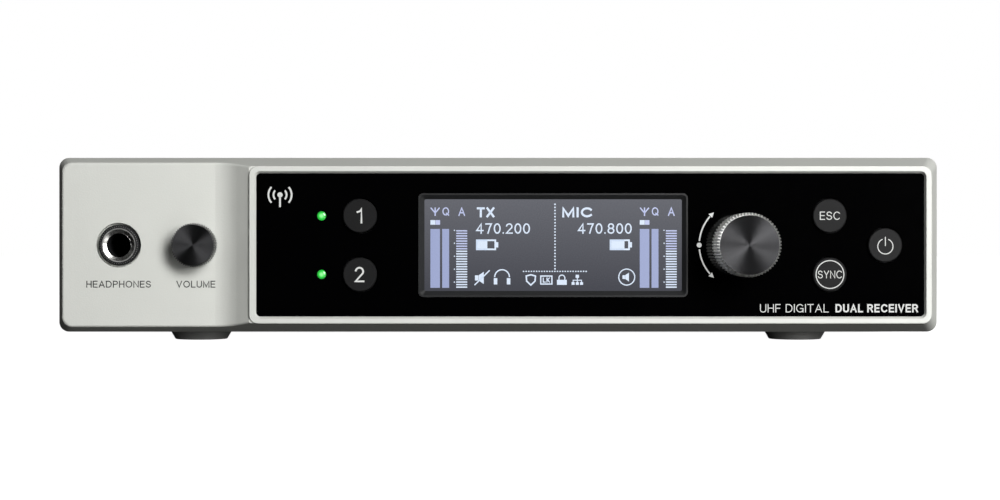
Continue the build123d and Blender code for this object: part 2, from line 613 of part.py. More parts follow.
CHIPS = [((-30.0, 10.0), 14.0), ((0.0, 8.0), 18.0), ((34.0, 14.0), 12.0), ((-46.0, -22.0), 9.0)]
with BuildPart() as circuit_chips:
    for place, size in CHIPS:
        with BuildSketch(Plane.XY.offset(BOARD_TOP)):
            with Locations(place):
                RectangleRounded(size, size, 0.5)
        extrude(amount=1.6)
write(circuit_chips, "circuit_chips")

with BuildPart() as capacitors:
    with BuildSketch(Plane.XY.offset(BOARD_TOP)):
        with Locations((52.0, 40.0)):
            with GridLocations(9.0, 9.0, 2, 3):
                Circle(3.15)
        with Locations((-44.0, 30.0)):
            with GridLocations(9.0, 9.0, 3, 1):
                Circle(3.15)
    extrude(amount=9.0)
write(capacitors, "capacitors")

RIBBON_X = 13.0
RIBBON_W = 18.0
SOCKET_H = 2.4
BOARD_BACK_Y = FRONT_BOARD_Y + BOARD_T
with BuildPart() as ribbon_sockets:
    block((RIBBON_X - 12, RIBBON_X + 12), (BOARD_BACK_Y, BOARD_BACK_Y + SOCKET_H), (20.0, 24.0))
    block((RIBBON_X - 12, RIBBON_X + 12), (-49.0, -45.0), (BOARD_TOP, BOARD_TOP + SOCKET_H))
write(ribbon_sockets, "ribbon_sockets")

with BuildPart() as display_ribbon:
    with BuildLine(Plane.YZ.offset(RIBBON_X)) as ribbon_path:
        Bezier(
            (BOARD_BACK_Y + 1.2, 20.0),
            (BOARD_BACK_Y + 1.2, 8.0),
            (-60.0, 10.5),
            (-49.0, BOARD_TOP + 1.2),
        )
    with BuildSketch(Plane(origin=ribbon_path.line @ 0, x_dir=(1, 0, 0), z_dir=ribbon_path.line % 0)):
        Rectangle(RIBBON_W, 0.3)
    sweep(path=ribbon_path.line)
write(display_ribbon, "display_ribbon")

# ---------------------------------------------------------------- folded sheet case
def sheet_section():
    """Draws the closed cross-section that the tray and the cover are parts of."""
    with Locations((0, CASE_MID_Z)):
        RectangleRounded(CASE_W, CASE_H, CORNER_R)
        RectangleRounded(CASE_W - 2 * SHEET, CASE_H - 2 * SHEET, CORNER_R - SHEET, mode=Mode.SUBTRACT)


SHEET_D = SHEET_REAR_Y - SHEET_FRONT_Y
with BuildPart() as bottom_tray:
    with BuildSketch(front(SHEET_REAR_Y)):
        sheet_section()
        with Locations((0, PARTING_Z)):
            Rectangle(CASE_W, CASE_H, align=(Align.CENTER, Align.MIN), mode=Mode.SUBTRACT)
    extrude(amount=SHEET_D)
    for side in (-1, 1):
        for y in TAB_Y:
            root_x = sorted((side * INSIDE_X, side * (INSIDE_X - 1.4)))
            tab_x = sorted((side * (INSIDE_X - 0.2), side * (INSIDE_X - 1.4)))
            block(root_x, (y - 6, y + 6), (TRAY_TOP - 0.2, PARTING_Z))
            block(tab_x, (y - 6, y + 6), (PARTING_Z, TAB_SCREW_Z + 5))
    drill(TAB_SCREWS, THREAD_R, 4.0)
    countersink(BOTTOM_SCREWS)
    drill([bottom_plane(x, y) for x in (-FOOT_X, FOOT_X) for y in FOOT_Y], 2.1, SHEET)
write(bottom_tray, "bottom_tray")

VENT_Y = 8.0
with BuildPart() as top_cover:
    with BuildSketch(front(SHEET_REAR_Y)):
        sheet_section()
        with Locations((0, PARTING_Z + 0.2)):
            Rectangle(CASE_W, CASE_H, align=(Align.CENTER, Align.MAX), mode=Mode.SUBTRACT)
    extrude(amount=SHEET_D)
    countersink(COVER_SCREWS)
    with BuildSketch(Plane.YZ.offset(-CASE_W / 2)):
        with Locations((VENT_Y, 29.0)):
            with GridLocations(5.0, 1.0, 11, 1):
                SlotOverall(12.0, 2.0, rotation=90)
    extrude(amount=CASE_W, mode=Mode.SUBTRACT)
write(top_cover, "top_cover")

with BuildPart() as cover_screws:
    long_screw = countersunk_screw(5.0)
    with Locations(*COVER_SCREWS):
        add(long_screw)
write(cover_screws, "cover_screws")

with BuildPart() as bottom_screws:
    with Locations(*BOTTOM_SCREWS):
        add(long_screw)
write(bottom_screws, "bottom_screws")

for name, x, y in [
    ("front_left", -FOOT_X, FOOT_Y[0]),
    ("front_right", FOOT_X, FOOT_Y[0]),
    ("rear_left", -FOOT_X, FOOT_Y[1]),
    ("rear_right", FOOT_X, FOOT_Y[1]),
]:
    with BuildPart() as foot:
        with Locations((x, y, FOOT_H / 2)):
            Cone(6.4, 7.8, FOOT_H)
        fillet(foot.edges().sort_by(Axis.Z)[0], 0.35)
        with Locations((x, y, FOOT_H)):
            Cylinder(2.0, 3.0, align=(Align.CENTER, Align.CENTER, Align.MIN))
    write(foot, f"foot_{name}")

# ---------------------------------------------------------------- rear panel
PLATE_X = INSIDE_X - 0.3
PLATE_Z = (TRAY_TOP + 0.2, CASE_TOP - SHEET - 0.2)
POWER_HOLE_R = POWER_NOSE_R + FIT_GAP
with BuildPart() as rear_panel:
    slab((0, sum(PLATE_Z) / 2), (2 * PLATE_X, PLATE_Z[1] - PLATE_Z[0]), 1.5, PANEL_IN_Y, PANEL_OUT_Y)
    for side in (-1, 1):
        flange_x = sorted((side * PLATE_X, side * (PLATE_X - SHEET)))
        block(flange_x, (69.0, PANEL_OUT_Y), (PLATE_Z[0] + 1.5, PLATE_Z[1] - 1.5))
    block((-60.0, 60.0), (68.0, PANEL_OUT_Y), (PLATE_Z[0], PLATE_Z[0] + 1.6))
    drill(FLANGE_SCREWS, THREAD_R, 4.0)
    drill([bottom_plane(x, BOTTOM_SCREW_Y[1]) for x in BOTTOM_SCREW_X], THREAD_R, 4.0)
    for x in ANTENNA_X.values():
        rod(x, ANTENNA_Z, ANTENNA_R + FIT_GAP, PANEL_IN_Y, PANEL_OUT_Y, mode=Mode.SUBTRACT)
    for x in XLR_X.values():
        rod(x, XLR_Z, XLR_BODY_R + 0.2, PANEL_IN_Y, PANEL_OUT_Y, mode=Mode.SUBTRACT)
        for dx, dz in XLR_SCREWS:
            rod(x + dx, XLR_Z + dz, THREAD_R, PANEL_IN_Y, PANEL_OUT_Y, mode=Mode.SUBTRACT)
    for x in LINE_X.values():
        rod(x, LINE_Z, LINE_NOSE_R + FIT_GAP, PANEL_IN_Y, PANEL_OUT_Y, mode=Mode.SUBTRACT)
    slab((ETHERNET_X, BOARD_TOP + ETHERNET_SIZE[1] / 2), (ETHERNET_SIZE[0] + 0.4, ETHERNET_SIZE[1] + 0.4),
         0.5, PANEL_IN_Y, PANEL_OUT_Y, mode=Mode.SUBTRACT)
    rod(POWER_X, POWER_Z, POWER_HOLE_R, PANEL_IN_Y, PANEL_OUT_Y, mode=Mode.SUBTRACT)
write(rear_panel, "rear_panel")

# ---------------------------------------------------------------- antenna sockets
NUT_Y = PANEL_OUT_Y + 2.4
for name, x in ANTENNA_X.items():
    with BuildPart() as antenna_socket:
        slab((x, ANTENNA_Z), (14.0, 14.0), 0.8, 66.0, PANEL_IN_Y)
        block((x - 5.0, x + 5.0), (66.0, 75.0), (BOARD_TOP, ANTENNA_Z - 6.5))
        rod(x, ANTENNA_Z, ANTENNA_R, PANEL_IN_Y, SOCKET_TIP_Y)
        with BuildSketch(Plane.YZ.offset(x - 5.5)):
            with Locations((SOCKET_TIP_Y - 4.2, ANTENNA_Z)):
                Circle(0.95)
        extrude(amount=11.0)
        rod(x, ANTENNA_Z, ANTENNA_BORE_R, ANTENNA_FLOOR_Y, SOCKET_TIP_Y, mode=Mode.SUBTRACT)
    write(antenna_socket, f"antenna_socket_{name}")

with BuildPart() as antenna_nuts:
    for x in ANTENNA_X.values():
        hexagon(x, ANTENNA_Z, 7.6, PANEL_OUT_Y, NUT_Y)
        rod(x, ANTENNA_Z, ANTENNA_R + 0.02, PANEL_OUT_Y, NUT_Y, mode=Mode.SUBTRACT)
write(antenna_nuts, "antenna_nuts")

with BuildPart() as antenna_insulators:
    for x in ANTENNA_X.values():
        rod(x, ANTENNA_Z, ANTENNA_BORE_R - 0.02, ANTENNA_FLOOR_Y, ANTENNA_FLOOR_Y + 2.5)
        rod(x, ANTENNA_Z, 2.4, ANTENNA_FLOOR_Y + 2.5, SOCKET_TIP_Y - 1.5)
        rod(x, ANTENNA_Z, 1.1, ANTENNA_FLOOR_Y, SOCKET_TIP_Y, mode=Mode.SUBTRACT)
write(antenna_insulators, "antenna_insulators")

with BuildPart() as antenna_contacts:
    for x in ANTENNA_X.values():
        rod(x, ANTENNA_Z, 1.08, ANTENNA_FLOOR_Y, SOCKET_TIP_Y - 1.8)
        rod(x, ANTENNA_Z, 0.55, 86.0, SOCKET_TIP_Y - 1.8, mode=Mode.SUBTRACT)
write(antenna_contacts, "antenna_contacts")

# ---------------------------------------------------------------- audio outputs
XLR_MOUTH_Y = PANEL_OUT_Y + 2.0
XLR_FLOOR_Y = 66.0
for name, x in XLR_X.items():
    with BuildPart() as xlr_socket:
        slab((x, XLR_Z), XLR_FLANGE, 3.0, PANEL_OUT_Y, XLR_MOUTH_Y)
        rod(x, XLR_Z, XLR_BODY_R, XLR_FLOOR_Y - 4.0, PANEL_OUT_Y)
        block((x - 7.0, x + 7.0), (XLR_FLOOR_Y - 4.0, XLR_FLOOR_Y), (BOARD_TOP, XLR_Z - 9.0))
        rod(x, XLR_Z, XLR_BORE_R, XLR_FLOOR_Y, XLR_MOUTH_Y, mode=Mode.SUBTRACT)
        for dx, dz in XLR_SCREWS:
            rod(x + dx, XLR_Z + dz, SCREW_R + 0.2, PANEL_OUT_Y, XLR_MOUTH_Y, mode=Mode.SUBTRACT)
    write(xlr_socket, f"xlr_socket_{name}")

with BuildPart() as xlr_pins:
    for x in XLR_X.values():
        with BuildSketch(front(XLR_MOUTH_Y - 3.5)):
            with Locations((x, XLR_Z)):
                with Locations(*XLR_PINS):
                    Circle(XLR_PIN_R)
        extrude(amount=XLR_MOUTH_Y - 3.5 - XLR_FLOOR_Y)
write(xlr_pins, "xlr_pins")

with BuildPart() as xlr_screws:
    spots = [(x + dx, XLR_Z + dz) for x in XLR_X.values() for dx, dz in XLR_SCREWS]
    with Locations(*[Plane(origin=(x, XLR_MOUTH_Y, z), z_dir=(0, 1, 0)) for x, z in spots]):
        add(board_screw)
write(xlr_screws, "xlr_screws")

LINE_TIP_Y = PANEL_OUT_Y + 3.2
for name, x in LINE_X.items():
    with BuildPart() as line_socket:
        block((x - 7.0, x + 7.0), (47.0, PANEL_IN_Y), (BOARD_TOP, LINE_Z + 8.0))
        rod(x, LINE_Z, LINE_NOSE_R, PANEL_IN_Y, LINE_TIP_Y)
        rod(x, LINE_Z, PLUG_R, LINE_TIP_Y - 31.0, LINE_TIP_Y, mode=Mode.SUBTRACT)
    write(line_socket, f"line_socket_{name}")

with BuildPart() as line_nuts:
    for x in LINE_X.values():
        hexagon(x, LINE_Z, 7.6, PANEL_OUT_Y, PANEL_OUT_Y + 2.0)
        rod(x, LINE_Z, LINE_NOSE_R + 0.02, PANEL_OUT_Y, PANEL_OUT_Y + 2.0, mode=Mode.SUBTRACT)
write(line_nuts, "line_nuts")

# ---------------------------------------------------------------- network, power and strain relief
ETHERNET_Z = BOARD_TOP + ETHERNET_SIZE[1] / 2
ETHERNET_OUT_Y = PANEL_OUT_Y + 0.5
with BuildPart() as ethernet_socket:
    slab((ETHERNET_X, ETHERNET_Z), ETHERNET_SIZE, 0.3, 60.0, ETHERNET_OUT_Y)
    slab((ETHERNET_X, ETHERNET_Z + 0.6), (11.8, 7.2), 0.2, 66.0, ETHERNET_OUT_Y, mode=Mode.SUBTRACT)
    slab((ETHERNET_X, ETHERNET_Z - 3.9), (6.2, 2.4), 0.2, 72.0, ETHERNET_OUT_Y, mode=Mode.SUBTRACT)
write(ethernet_socket, "ethernet_socket")

POWER_OUT_Y = PANEL_OUT_Y + 0.4
with BuildPart() as power_inlet:
    block((POWER_X - 4.7, POWER_X + 4.7), (66.0, PANEL_IN_Y), (BOARD_TOP, POWER_Z + 5.2))
    rod(POWER_X, POWER_Z, POWER_NOSE_R, PANEL_IN_Y, POWER_OUT_Y)
    rod(POWER_X, POWER_Z, POWER_BORE_R, 70.0, POWER_OUT_Y, mode=Mode.SUBTRACT)
    rod(POWER_X, POWER_Z, POWER_PIN_R, 69.0, POWER_OUT_Y - 0.8)
write(power_inlet, "power_inlet")

with BuildPart() as cable_hook:
    slab((HOOK_X, HOOK_Z), (8.0, 16.0), 1.5, PANEL_OUT_Y, PANEL_OUT_Y + 1.5)
    with BuildSketch(Plane.YZ.offset(HOOK_X - 2.5)):
        with BuildLine():
            Polyline(
                (PANEL_OUT_Y + 1.4, HOOK_Z - 3.0),
                (PANEL_OUT_Y + 9.0, HOOK_Z - 3.0),
                (PANEL_OUT_Y + 9.0, HOOK_Z + 5.0),
                (PANEL_OUT_Y + 7.0, HOOK_Z + 5.0),
                (PANEL_OUT_Y + 7.0, HOOK_Z - 1.0),
                (PANEL_OUT_Y + 1.4, HOOK_Z - 1.0),
                close=True,
            )
        make_face()
    extrude(amount=5.0)
write(cable_hook, "cable_hook")
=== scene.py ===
"""Looks of the half-rack wireless receiver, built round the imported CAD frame.

Metres, +X to the right seen from the front, -Y towards the viewer, +Z up. What is drawn on the front and
the profiles of turned pieces are given in millimetres.
"""

import json
from math import cos, pi, radians, sin

import bmesh
import bpy
from mathutils import Matrix, Vector


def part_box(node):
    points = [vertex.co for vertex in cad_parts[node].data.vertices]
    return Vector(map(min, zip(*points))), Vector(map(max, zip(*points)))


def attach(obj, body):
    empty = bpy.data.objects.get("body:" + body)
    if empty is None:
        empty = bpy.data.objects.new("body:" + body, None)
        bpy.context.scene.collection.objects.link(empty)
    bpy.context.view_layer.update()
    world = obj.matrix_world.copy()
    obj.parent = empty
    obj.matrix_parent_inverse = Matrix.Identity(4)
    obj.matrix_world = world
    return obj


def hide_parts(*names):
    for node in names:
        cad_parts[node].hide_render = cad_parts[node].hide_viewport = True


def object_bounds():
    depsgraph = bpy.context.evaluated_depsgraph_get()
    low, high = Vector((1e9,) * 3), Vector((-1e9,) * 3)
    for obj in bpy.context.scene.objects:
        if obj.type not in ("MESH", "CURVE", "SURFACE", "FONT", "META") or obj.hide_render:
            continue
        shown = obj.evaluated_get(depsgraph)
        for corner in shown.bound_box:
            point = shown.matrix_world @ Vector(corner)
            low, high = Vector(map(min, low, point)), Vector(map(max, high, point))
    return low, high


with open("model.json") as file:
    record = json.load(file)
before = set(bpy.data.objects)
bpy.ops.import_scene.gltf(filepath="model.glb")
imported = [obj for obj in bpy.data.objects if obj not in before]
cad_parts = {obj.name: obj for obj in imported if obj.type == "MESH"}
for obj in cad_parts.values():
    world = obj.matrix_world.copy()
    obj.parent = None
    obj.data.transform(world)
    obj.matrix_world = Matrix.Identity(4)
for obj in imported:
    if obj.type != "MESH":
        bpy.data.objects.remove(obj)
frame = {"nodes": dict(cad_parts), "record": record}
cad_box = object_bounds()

MM = 0.001
HAIR = 0.03 * MM  # how far printing stands off the surface below it
PRINT_THICK = 0.02 * MM


# ---------------------------------------------------------------- places, read from the frame
def centre(node_name):
    """Middle of a CAD node's box."""
    low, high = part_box(node_name)
    return (low + high) / 2


def front_y(node_name):
    """Depth of a CAD node's front."""
    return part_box(node_name)[0].y


WINDOW_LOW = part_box("control_window")[0]
WINDOW_Y = WINDOW_LOW.y
AUDIO_Y = front_y("phones_nut")
DIAL = centre("encoder_knob")
VOLUME = centre("volume_knob")
PHONES = centre("phones_nut")
GLASS_LOW, GLASS_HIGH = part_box("display_glass")
KEYS = ("1", "2", "escape", "sync", "power")


# ---------------------------------------------------------------- material toolkit
DRIFT_DETAIL, GRAIN_DETAIL = 4.0, 2.0  # how finely the slow and the fine noise of a finish break up
COAT_ROUGH = 0.08
GLOW_GRAIN = 3500.0  # cells a metre of the unevenness of a lit surface


def new_material(name):
    """A node material with only a Principled shader; returns (material, tree, shader)."""
    material = bpy.data.materials.new(name)
    material.use_nodes = True
    tree = material.node_tree
    tree.nodes.clear()
    shader = tree.nodes.new("ShaderNodeBsdfPrincipled")
    output = tree.nodes.new("ShaderNodeOutputMaterial")
    tree.links.new(shader.outputs["BSDF"], output.inputs["Surface"])
    return material, tree, shader


def object_space(tree, stretch=(1.0, 1.0, 1.0)):
    """Object coordinates, stretched."""
    place = tree.nodes.new("ShaderNodeTexCoord")
    mapping = tree.nodes.new("ShaderNodeMapping")
    mapping.inputs["Scale"].default_value = stretch
    tree.links.new(place.outputs["Object"], mapping.inputs["Vector"])
    return mapping.outputs["Vector"]


def from_middle(tree, stretch=(1.0, 1.0, 1.0)):
    """Coordinates one unit wide over the piece's own box, counted from its middle in X and Z."""
    place = tree.nodes.new("ShaderNodeTexCoord")
    mapping = tree.nodes.new("ShaderNodeMapping")
    mapping.inputs["Location"].default_value = (-0.5, 0.0, -0.5)
    mapping.inputs["Scale"].default_value = stretch
    tree.links.new(place.outputs["Generated"], mapping.inputs["Vector"])
    return mapping.outputs["Vector"]


def noise(tree, scale, detail=3.0, stretch=(1.0, 1.0, 1.0)):
    """Noise fixed to the object; scale is in cells a metre."""
    made = tree.nodes.new("ShaderNodeTexNoise")
    made.inputs["Scale"].default_value = scale
    made.inputs["Detail"].default_value = detail
    tree.links.new(object_space(tree, stretch), made.inputs["Vector"])
    return made.outputs["Fac"]


def ranged(tree, value, low, high, start=0.3, end=0.7):
    """Maps a pattern's start to end onto low to high."""
    made = tree.nodes.new("ShaderNodeMapRange")
    made.inputs["From Min"].default_value = start
    made.inputs["From Max"].default_value = end
    made.inputs["To Min"].default_value = low
    made.inputs["To Max"].default_value = high
    tree.links.new(value, made.inputs["Value"])
    return made.outputs["Result"]


def mixed(tree, factor, colour_a, colour_b):
    """A colour that goes from a to b with factor."""
    made = tree.nodes.new("ShaderNodeMix")
    made.data_type = "RGBA"
    made.inputs["A"].default_value = (*colour_a, 1)
    made.inputs["B"].default_value = (*colour_b, 1)
    tree.links.new(factor, made.inputs["Factor"])
    return made.outputs["Result"]


def toned(tree, value, tones):
    """A colour that goes through tones as value grows; each tone is a place on value and its colour."""
    made = tree.nodes.new("ShaderNodeValToRGB")
    stops = made.color_ramp.elements
    stops[0].position, stops[1].position = tones[0][0], tones[-1][0]
    for place, _ in tones[1:-1]:
        stops.new(place)
    for stop, (_, colour) in zip(stops, tones):
        stop.color = (*colour, 1)
    tree.links.new(value, made.inputs["Fac"])
    return made.outputs["Color"]


def bump(tree, shader, height, depth):
    """Raises the surface by height times depth, in metres."""
    made = tree.nodes.new("ShaderNodeBump")
    made.inputs["Distance"].default_value = depth
    tree.links.new(height, made.inputs["Height"])
    tree.links.new(made.outputs["Normal"], shader.inputs["Normal"])


def finish(name, colour, metallic=0.0, rough=(0.4, 0.5), grain=2500.0, depth=0.0, tint=0.04, drift=60.0,
           coat=0.0, level=0.5, stretch=(1.0, 1.0, 1.0)):
    """A solid finish whose colour and gloss drift slightly, with a fine grain standing on it.

    grain and drift are in cells a metre, depth is the grain's height in millimetres, tint is how far the
    colour drifts either way, and level is how strongly a surface that is no metal mirrors.
    """
    material, tree, shader = new_material(name)
    dark = [c * (1 - tint) for c in colour]
    light = [min(1.0, c * (1 + tint)) for c in colour]
    slow = noise(tree, drift, DRIFT_DETAIL, stretch)
    fine = noise(tree, grain, GRAIN_DETAIL, stretch)
    tree.links.new(mixed(tree, ranged(tree, slow, 0, 1), dark, light), shader.inputs["Base Color"])
    tree.links.new(ranged(tree, fine, *rough), shader.inputs["Roughness"])
    shader.inputs["Metallic"].default_value = metallic
    shader.inputs["Coat Weight"].default_value = coat
    shader.inputs["Coat Roughness"].default_value = COAT_ROUGH
    shader.inputs["Specular IOR Level"].default_value = level
    if depth:
        bump(tree, shader, fine, depth * MM)
    return material


def turned_metal(name, colour, pitch, rough=(0.30, 0.42), tint=0.15):
    """Anodised metal turned on a lathe: gloss is stretched round the piece's middle, with fine rings."""
    material, tree, shader = new_material(name)
    shader.inputs["Metallic"].default_value = 1.0
    shader.inputs["Anisotropic"].default_value = 0.85
    shader.inputs["Anisotropic Rotation"].default_value = 0.25
    rings = tree.nodes.new("ShaderNodeTexWave")
    rings.wave_type = "RINGS"
    rings.rings_direction = "Y"
    rings.inputs["Scale"].default_value = pitch
    rings.inputs["Distortion"].default_value = 0.6
    tangent = tree.nodes.new("ShaderNodeTangent")
    tangent.direction_type = "RADIAL"
    tangent.axis = "Y"
    tree.links.new(from_middle(tree), rings.inputs["Vector"])
    tree.links.new(tangent.outputs["Tangent"], shader.inputs["Tangent"])
    tree.links.new(ranged(tree, rings.outputs["Fac"], *rough, 0, 1), shader.inputs["Roughness"])
    dark = [c * (1 - tint) for c in colour]
    tree.links.new(mixed(tree, rings.outputs["Fac"], dark, colour), shader.inputs["Base Color"])
    return material


def glow(name, colour, strength, grain=0.0):
    """A lit surface; grain makes its brightness uneven."""
    material, tree, shader = new_material(name)
    shader.inputs["Base Color"].default_value = (*[c * 0.3 for c in colour], 1)
    shader.inputs["Roughness"].default_value = 0.35
    shader.inputs["Emission Strength"].default_value = strength
    if grain:
        uneven = ranged(tree, noise(tree, GLOW_GRAIN), 0, 1)
        dim = [c * (1 - grain) for c in colour]
        tree.links.new(mixed(tree, uneven, dim, colour), shader.inputs["Emission Color"])
    else:
        shader.inputs["Emission Color"].default_value = (*colour, 1)
    return material


def lens_material():
    """A lit green lens: pale in the middle, deep green at its rim."""
    material, tree, shader = new_material("led_green")
    shader.inputs["Base Color"].default_value = (0.01, 0.12, 0.02, 1)
    shader.inputs["Roughness"].default_value = 0.15
    shader.inputs["Emission Strength"].default_value = 1.0
    size = tree.nodes.new("ShaderNodeVectorMath")
    size.operation = "LENGTH"
    tree.links.new(from_middle(tree, stretch=(1.0, 0.0, 1.0)), size.inputs[0])
    pale, green, deep = (0.34, 0.95, 0.36), (0.02, 0.62, 0.05), (0.012, 0.20, 0.02)
    lit = toned(tree, size.outputs["Value"], [(0.10, pale), (0.34, green), (0.50, deep)])
    tree.links.new(lit, shader.inputs["Emission Color"])
    return material


def display_material():
    """The lit field of the display: blue grey, lighter towards the top, with a fine dot pattern."""
    material, tree, shader = new_material("display_field")
    shader.inputs["Base Color"].default_value = (0.012, 0.013, 0.018, 1)
    shader.inputs["Roughness"].default_value = 0.22
    shader.inputs["Emission Strength"].default_value = 1.0
    parts = tree.nodes.new("ShaderNodeSeparateXYZ")
    tree.links.new(object_space(tree), parts.inputs["Vector"])
    up = ranged(tree, parts.outputs["Z"], 0, 1, GLASS_LOW.z, GLASS_HIGH.z)
    field = toned(tree, up, [(0.0, (0.047, 0.048, 0.056)), (1.0, (0.125, 0.128, 0.142))])
    dots = ranged(tree, noise(tree, 4000.0, GRAIN_DETAIL), 0, 1)
    grain = tree.nodes.new("ShaderNodeMix")
    grain.data_type = "RGBA"
    grain.blend_type = "MULTIPLY"
    grain.inputs["Factor"].default_value = 1.0
    tree.links.new(field, grain.inputs["A"])
    tree.links.new(mixed(tree, dots, (0.82, 0.82, 0.84), (1.1, 1.1, 1.1)), grain.inputs["B"])
    tree.links.new(grain.outputs["Result"], shader.inputs["Emission Color"])
    return material


# ---------------------------------------------------------------- materials, one for each slot of the record
SLOTS = {
    "light_paint": finish(
        "silver_paint", (0.715, 0.725, 0.68), metallic=0.3, rough=(0.40, 0.52), grain=2600, depth=0.022,
        tint=0.02),
    "dark_paint": finish(
        "textured_paint", (0.030, 0.031, 0.033), metallic=0.1, rough=(0.50, 0.66), grain=1500, depth=0.05,
        tint=0.10),
    "window_gloss": finish(
        "black_gloss", (0.0005, 0.0005, 0.0006), rough=(0.04, 0.07), grain=300, tint=0.1, drift=30,
        coat=0.3, level=0.35),
    "display_black": finish(
        "display_bezel_plastic", (0.012, 0.0125, 0.013), rough=(0.35, 0.45), grain=3000, depth=0.01,
        level=0.4),
    "display_face": display_material(),
    "white_plastic": finish(
        "white_insulator", (0.72, 0.71, 0.67), rough=(0.35, 0.5), grain=900, depth=0.01),
    "clear_pipe": lens_material(),
    "led_body": glow("led_chip", (0.5, 1.0, 0.5), 1.0),
    "button_rubber": finish(
        "key_plastic", (0.0095, 0.0095, 0.0098), rough=(0.42, 0.55), grain=3200, depth=0.012, tint=0.08,
        level=0.12),
    "black_plastic": finish(
        "moulded_plastic", (0.012, 0.012, 0.013), rough=(0.38, 0.52), grain=2200, depth=0.015, tint=0.1),
    "dark_aluminium": turned_metal("turned_dark_metal", (0.045, 0.045, 0.047), 22.0),
    "steel": finish(
        "nickel_steel", (0.52, 0.52, 0.51), metallic=1.0, rough=(0.22, 0.34), grain=1800, depth=0.004),
    "chrome": finish(
        "bright_nickel", (0.66, 0.66, 0.64), metallic=1.0, rough=(0.10, 0.18), grain=1200, depth=0.003),
    "black_metal": finish(
        "black_zinc", (0.022, 0.022, 0.023), metallic=0.7, rough=(0.34, 0.46), grain=2000, depth=0.012,
        tint=0.1),
    "brass": finish(
        "gold_plate", (0.80, 0.56, 0.22), metallic=1.0, rough=(0.16, 0.26), grain=1500, depth=0.003),
    "board_green": finish(
        "solder_mask", (0.006, 0.065, 0.028), rough=(0.25, 0.38), grain=1200, depth=0.01, tint=0.2,
        drift=400),
    "ribbon_white": finish(
        "ribbon_film", (0.70, 0.70, 0.66), rough=(0.3, 0.42), grain=500, tint=0.05, drift=300,
        stretch=(8, 1, 1)),
    "foot_grey": finish(
        "foot_elastomer", (0.40, 0.40, 0.385), metallic=0.5, rough=(0.38, 0.5), grain=2600, depth=0.02,
        tint=0.06),
}

# further finishes, for pieces that look different from the slot they belong to
KNURL = finish(
    "knurled_metal", (0.72, 0.72, 0.70), metallic=1.0, rough=(0.36, 0.46), grain=3000, depth=0.004, tint=0.08)
DARK_KNURL = finish(
    "knurled_dark_metal", (0.10, 0.10, 0.10), metallic=1.0, rough=(0.30, 0.40), grain=3000, depth=0.004,
    tint=0.08)
SATIN_NICKEL = finish(
    "satin_nickel", (0.50, 0.50, 0.48), metallic=1.0, rough=(0.22, 0.32), grain=1500, depth=0.004, tint=0.05)
# painted shade: a darker, duller copy of the silver paint, so the frame round the window reads less bright
# than the bezel
SHADED_FRAME_PAINT = finish(
    "frame_paint_painted_shade", (0.60, 0.61, 0.575), metallic=0.12, rough=(0.46, 0.58), grain=2600, depth=0.022,
    tint=0.02, level=0.35)
DARK_PRINT = finish("dark_print", (0.030, 0.031, 0.030), rough=(0.45, 0.6), grain=4000, tint=0.05)
# painted light: the white print glows, so it stays evenly bright where shadows fall across it
GLOWING_WHITE_PRINT = glow("white_print_painted_glow", (0.74, 0.75, 0.73), 0.62, 0.04)
SCREEN_WHITE = glow("screen_white", (0.58, 0.66, 0.78), 0.92, 0.10)
SCREEN_BLUE = glow("screen_blue", (0.27, 0.31, 0.49), 0.95, 0.10)
SCREEN_DIM = glow("screen_dim", (0.42, 0.46, 0.66), 1.0, 0.15)
OWN_FINISH = {"window_frame": SHADED_FRAME_PAINT}

for row in frame["record"]["subparts"]:
    cad = frame["nodes"][row["node"]]
    cad.data.materials.clear()
    cad.data.materials.append(OWN_FINISH.get(row["node"], SLOTS[row["material_slot"]]))


# ---------------------------------------------------------------- lettering
LETTER_GAP = 0.16  # after each letter, in the units of the letters below
WORD_GAP = 0.40  # for a space, in the same units
ANCHOR = {"LEFT": 0.0, "CENTER": 0.5, "RIGHT": 1.0}


def bow(u, v, wide, high, start, end, steps=12):
    """Points on part of an ellipse, from one angle to another in degrees."""
    angles = [radians(start + (end - start) * i / steps) for i in range(steps + 1)]
    return [(u + wide * cos(a), v + high * sin(a)) for a in angles]


def oval(u, v, wide, high):
    """A closed ellipse whose last point is its first."""
    points = bow(u, v, wide, high, 90, 450, 28)
    return points[:-1] + [points[0]]


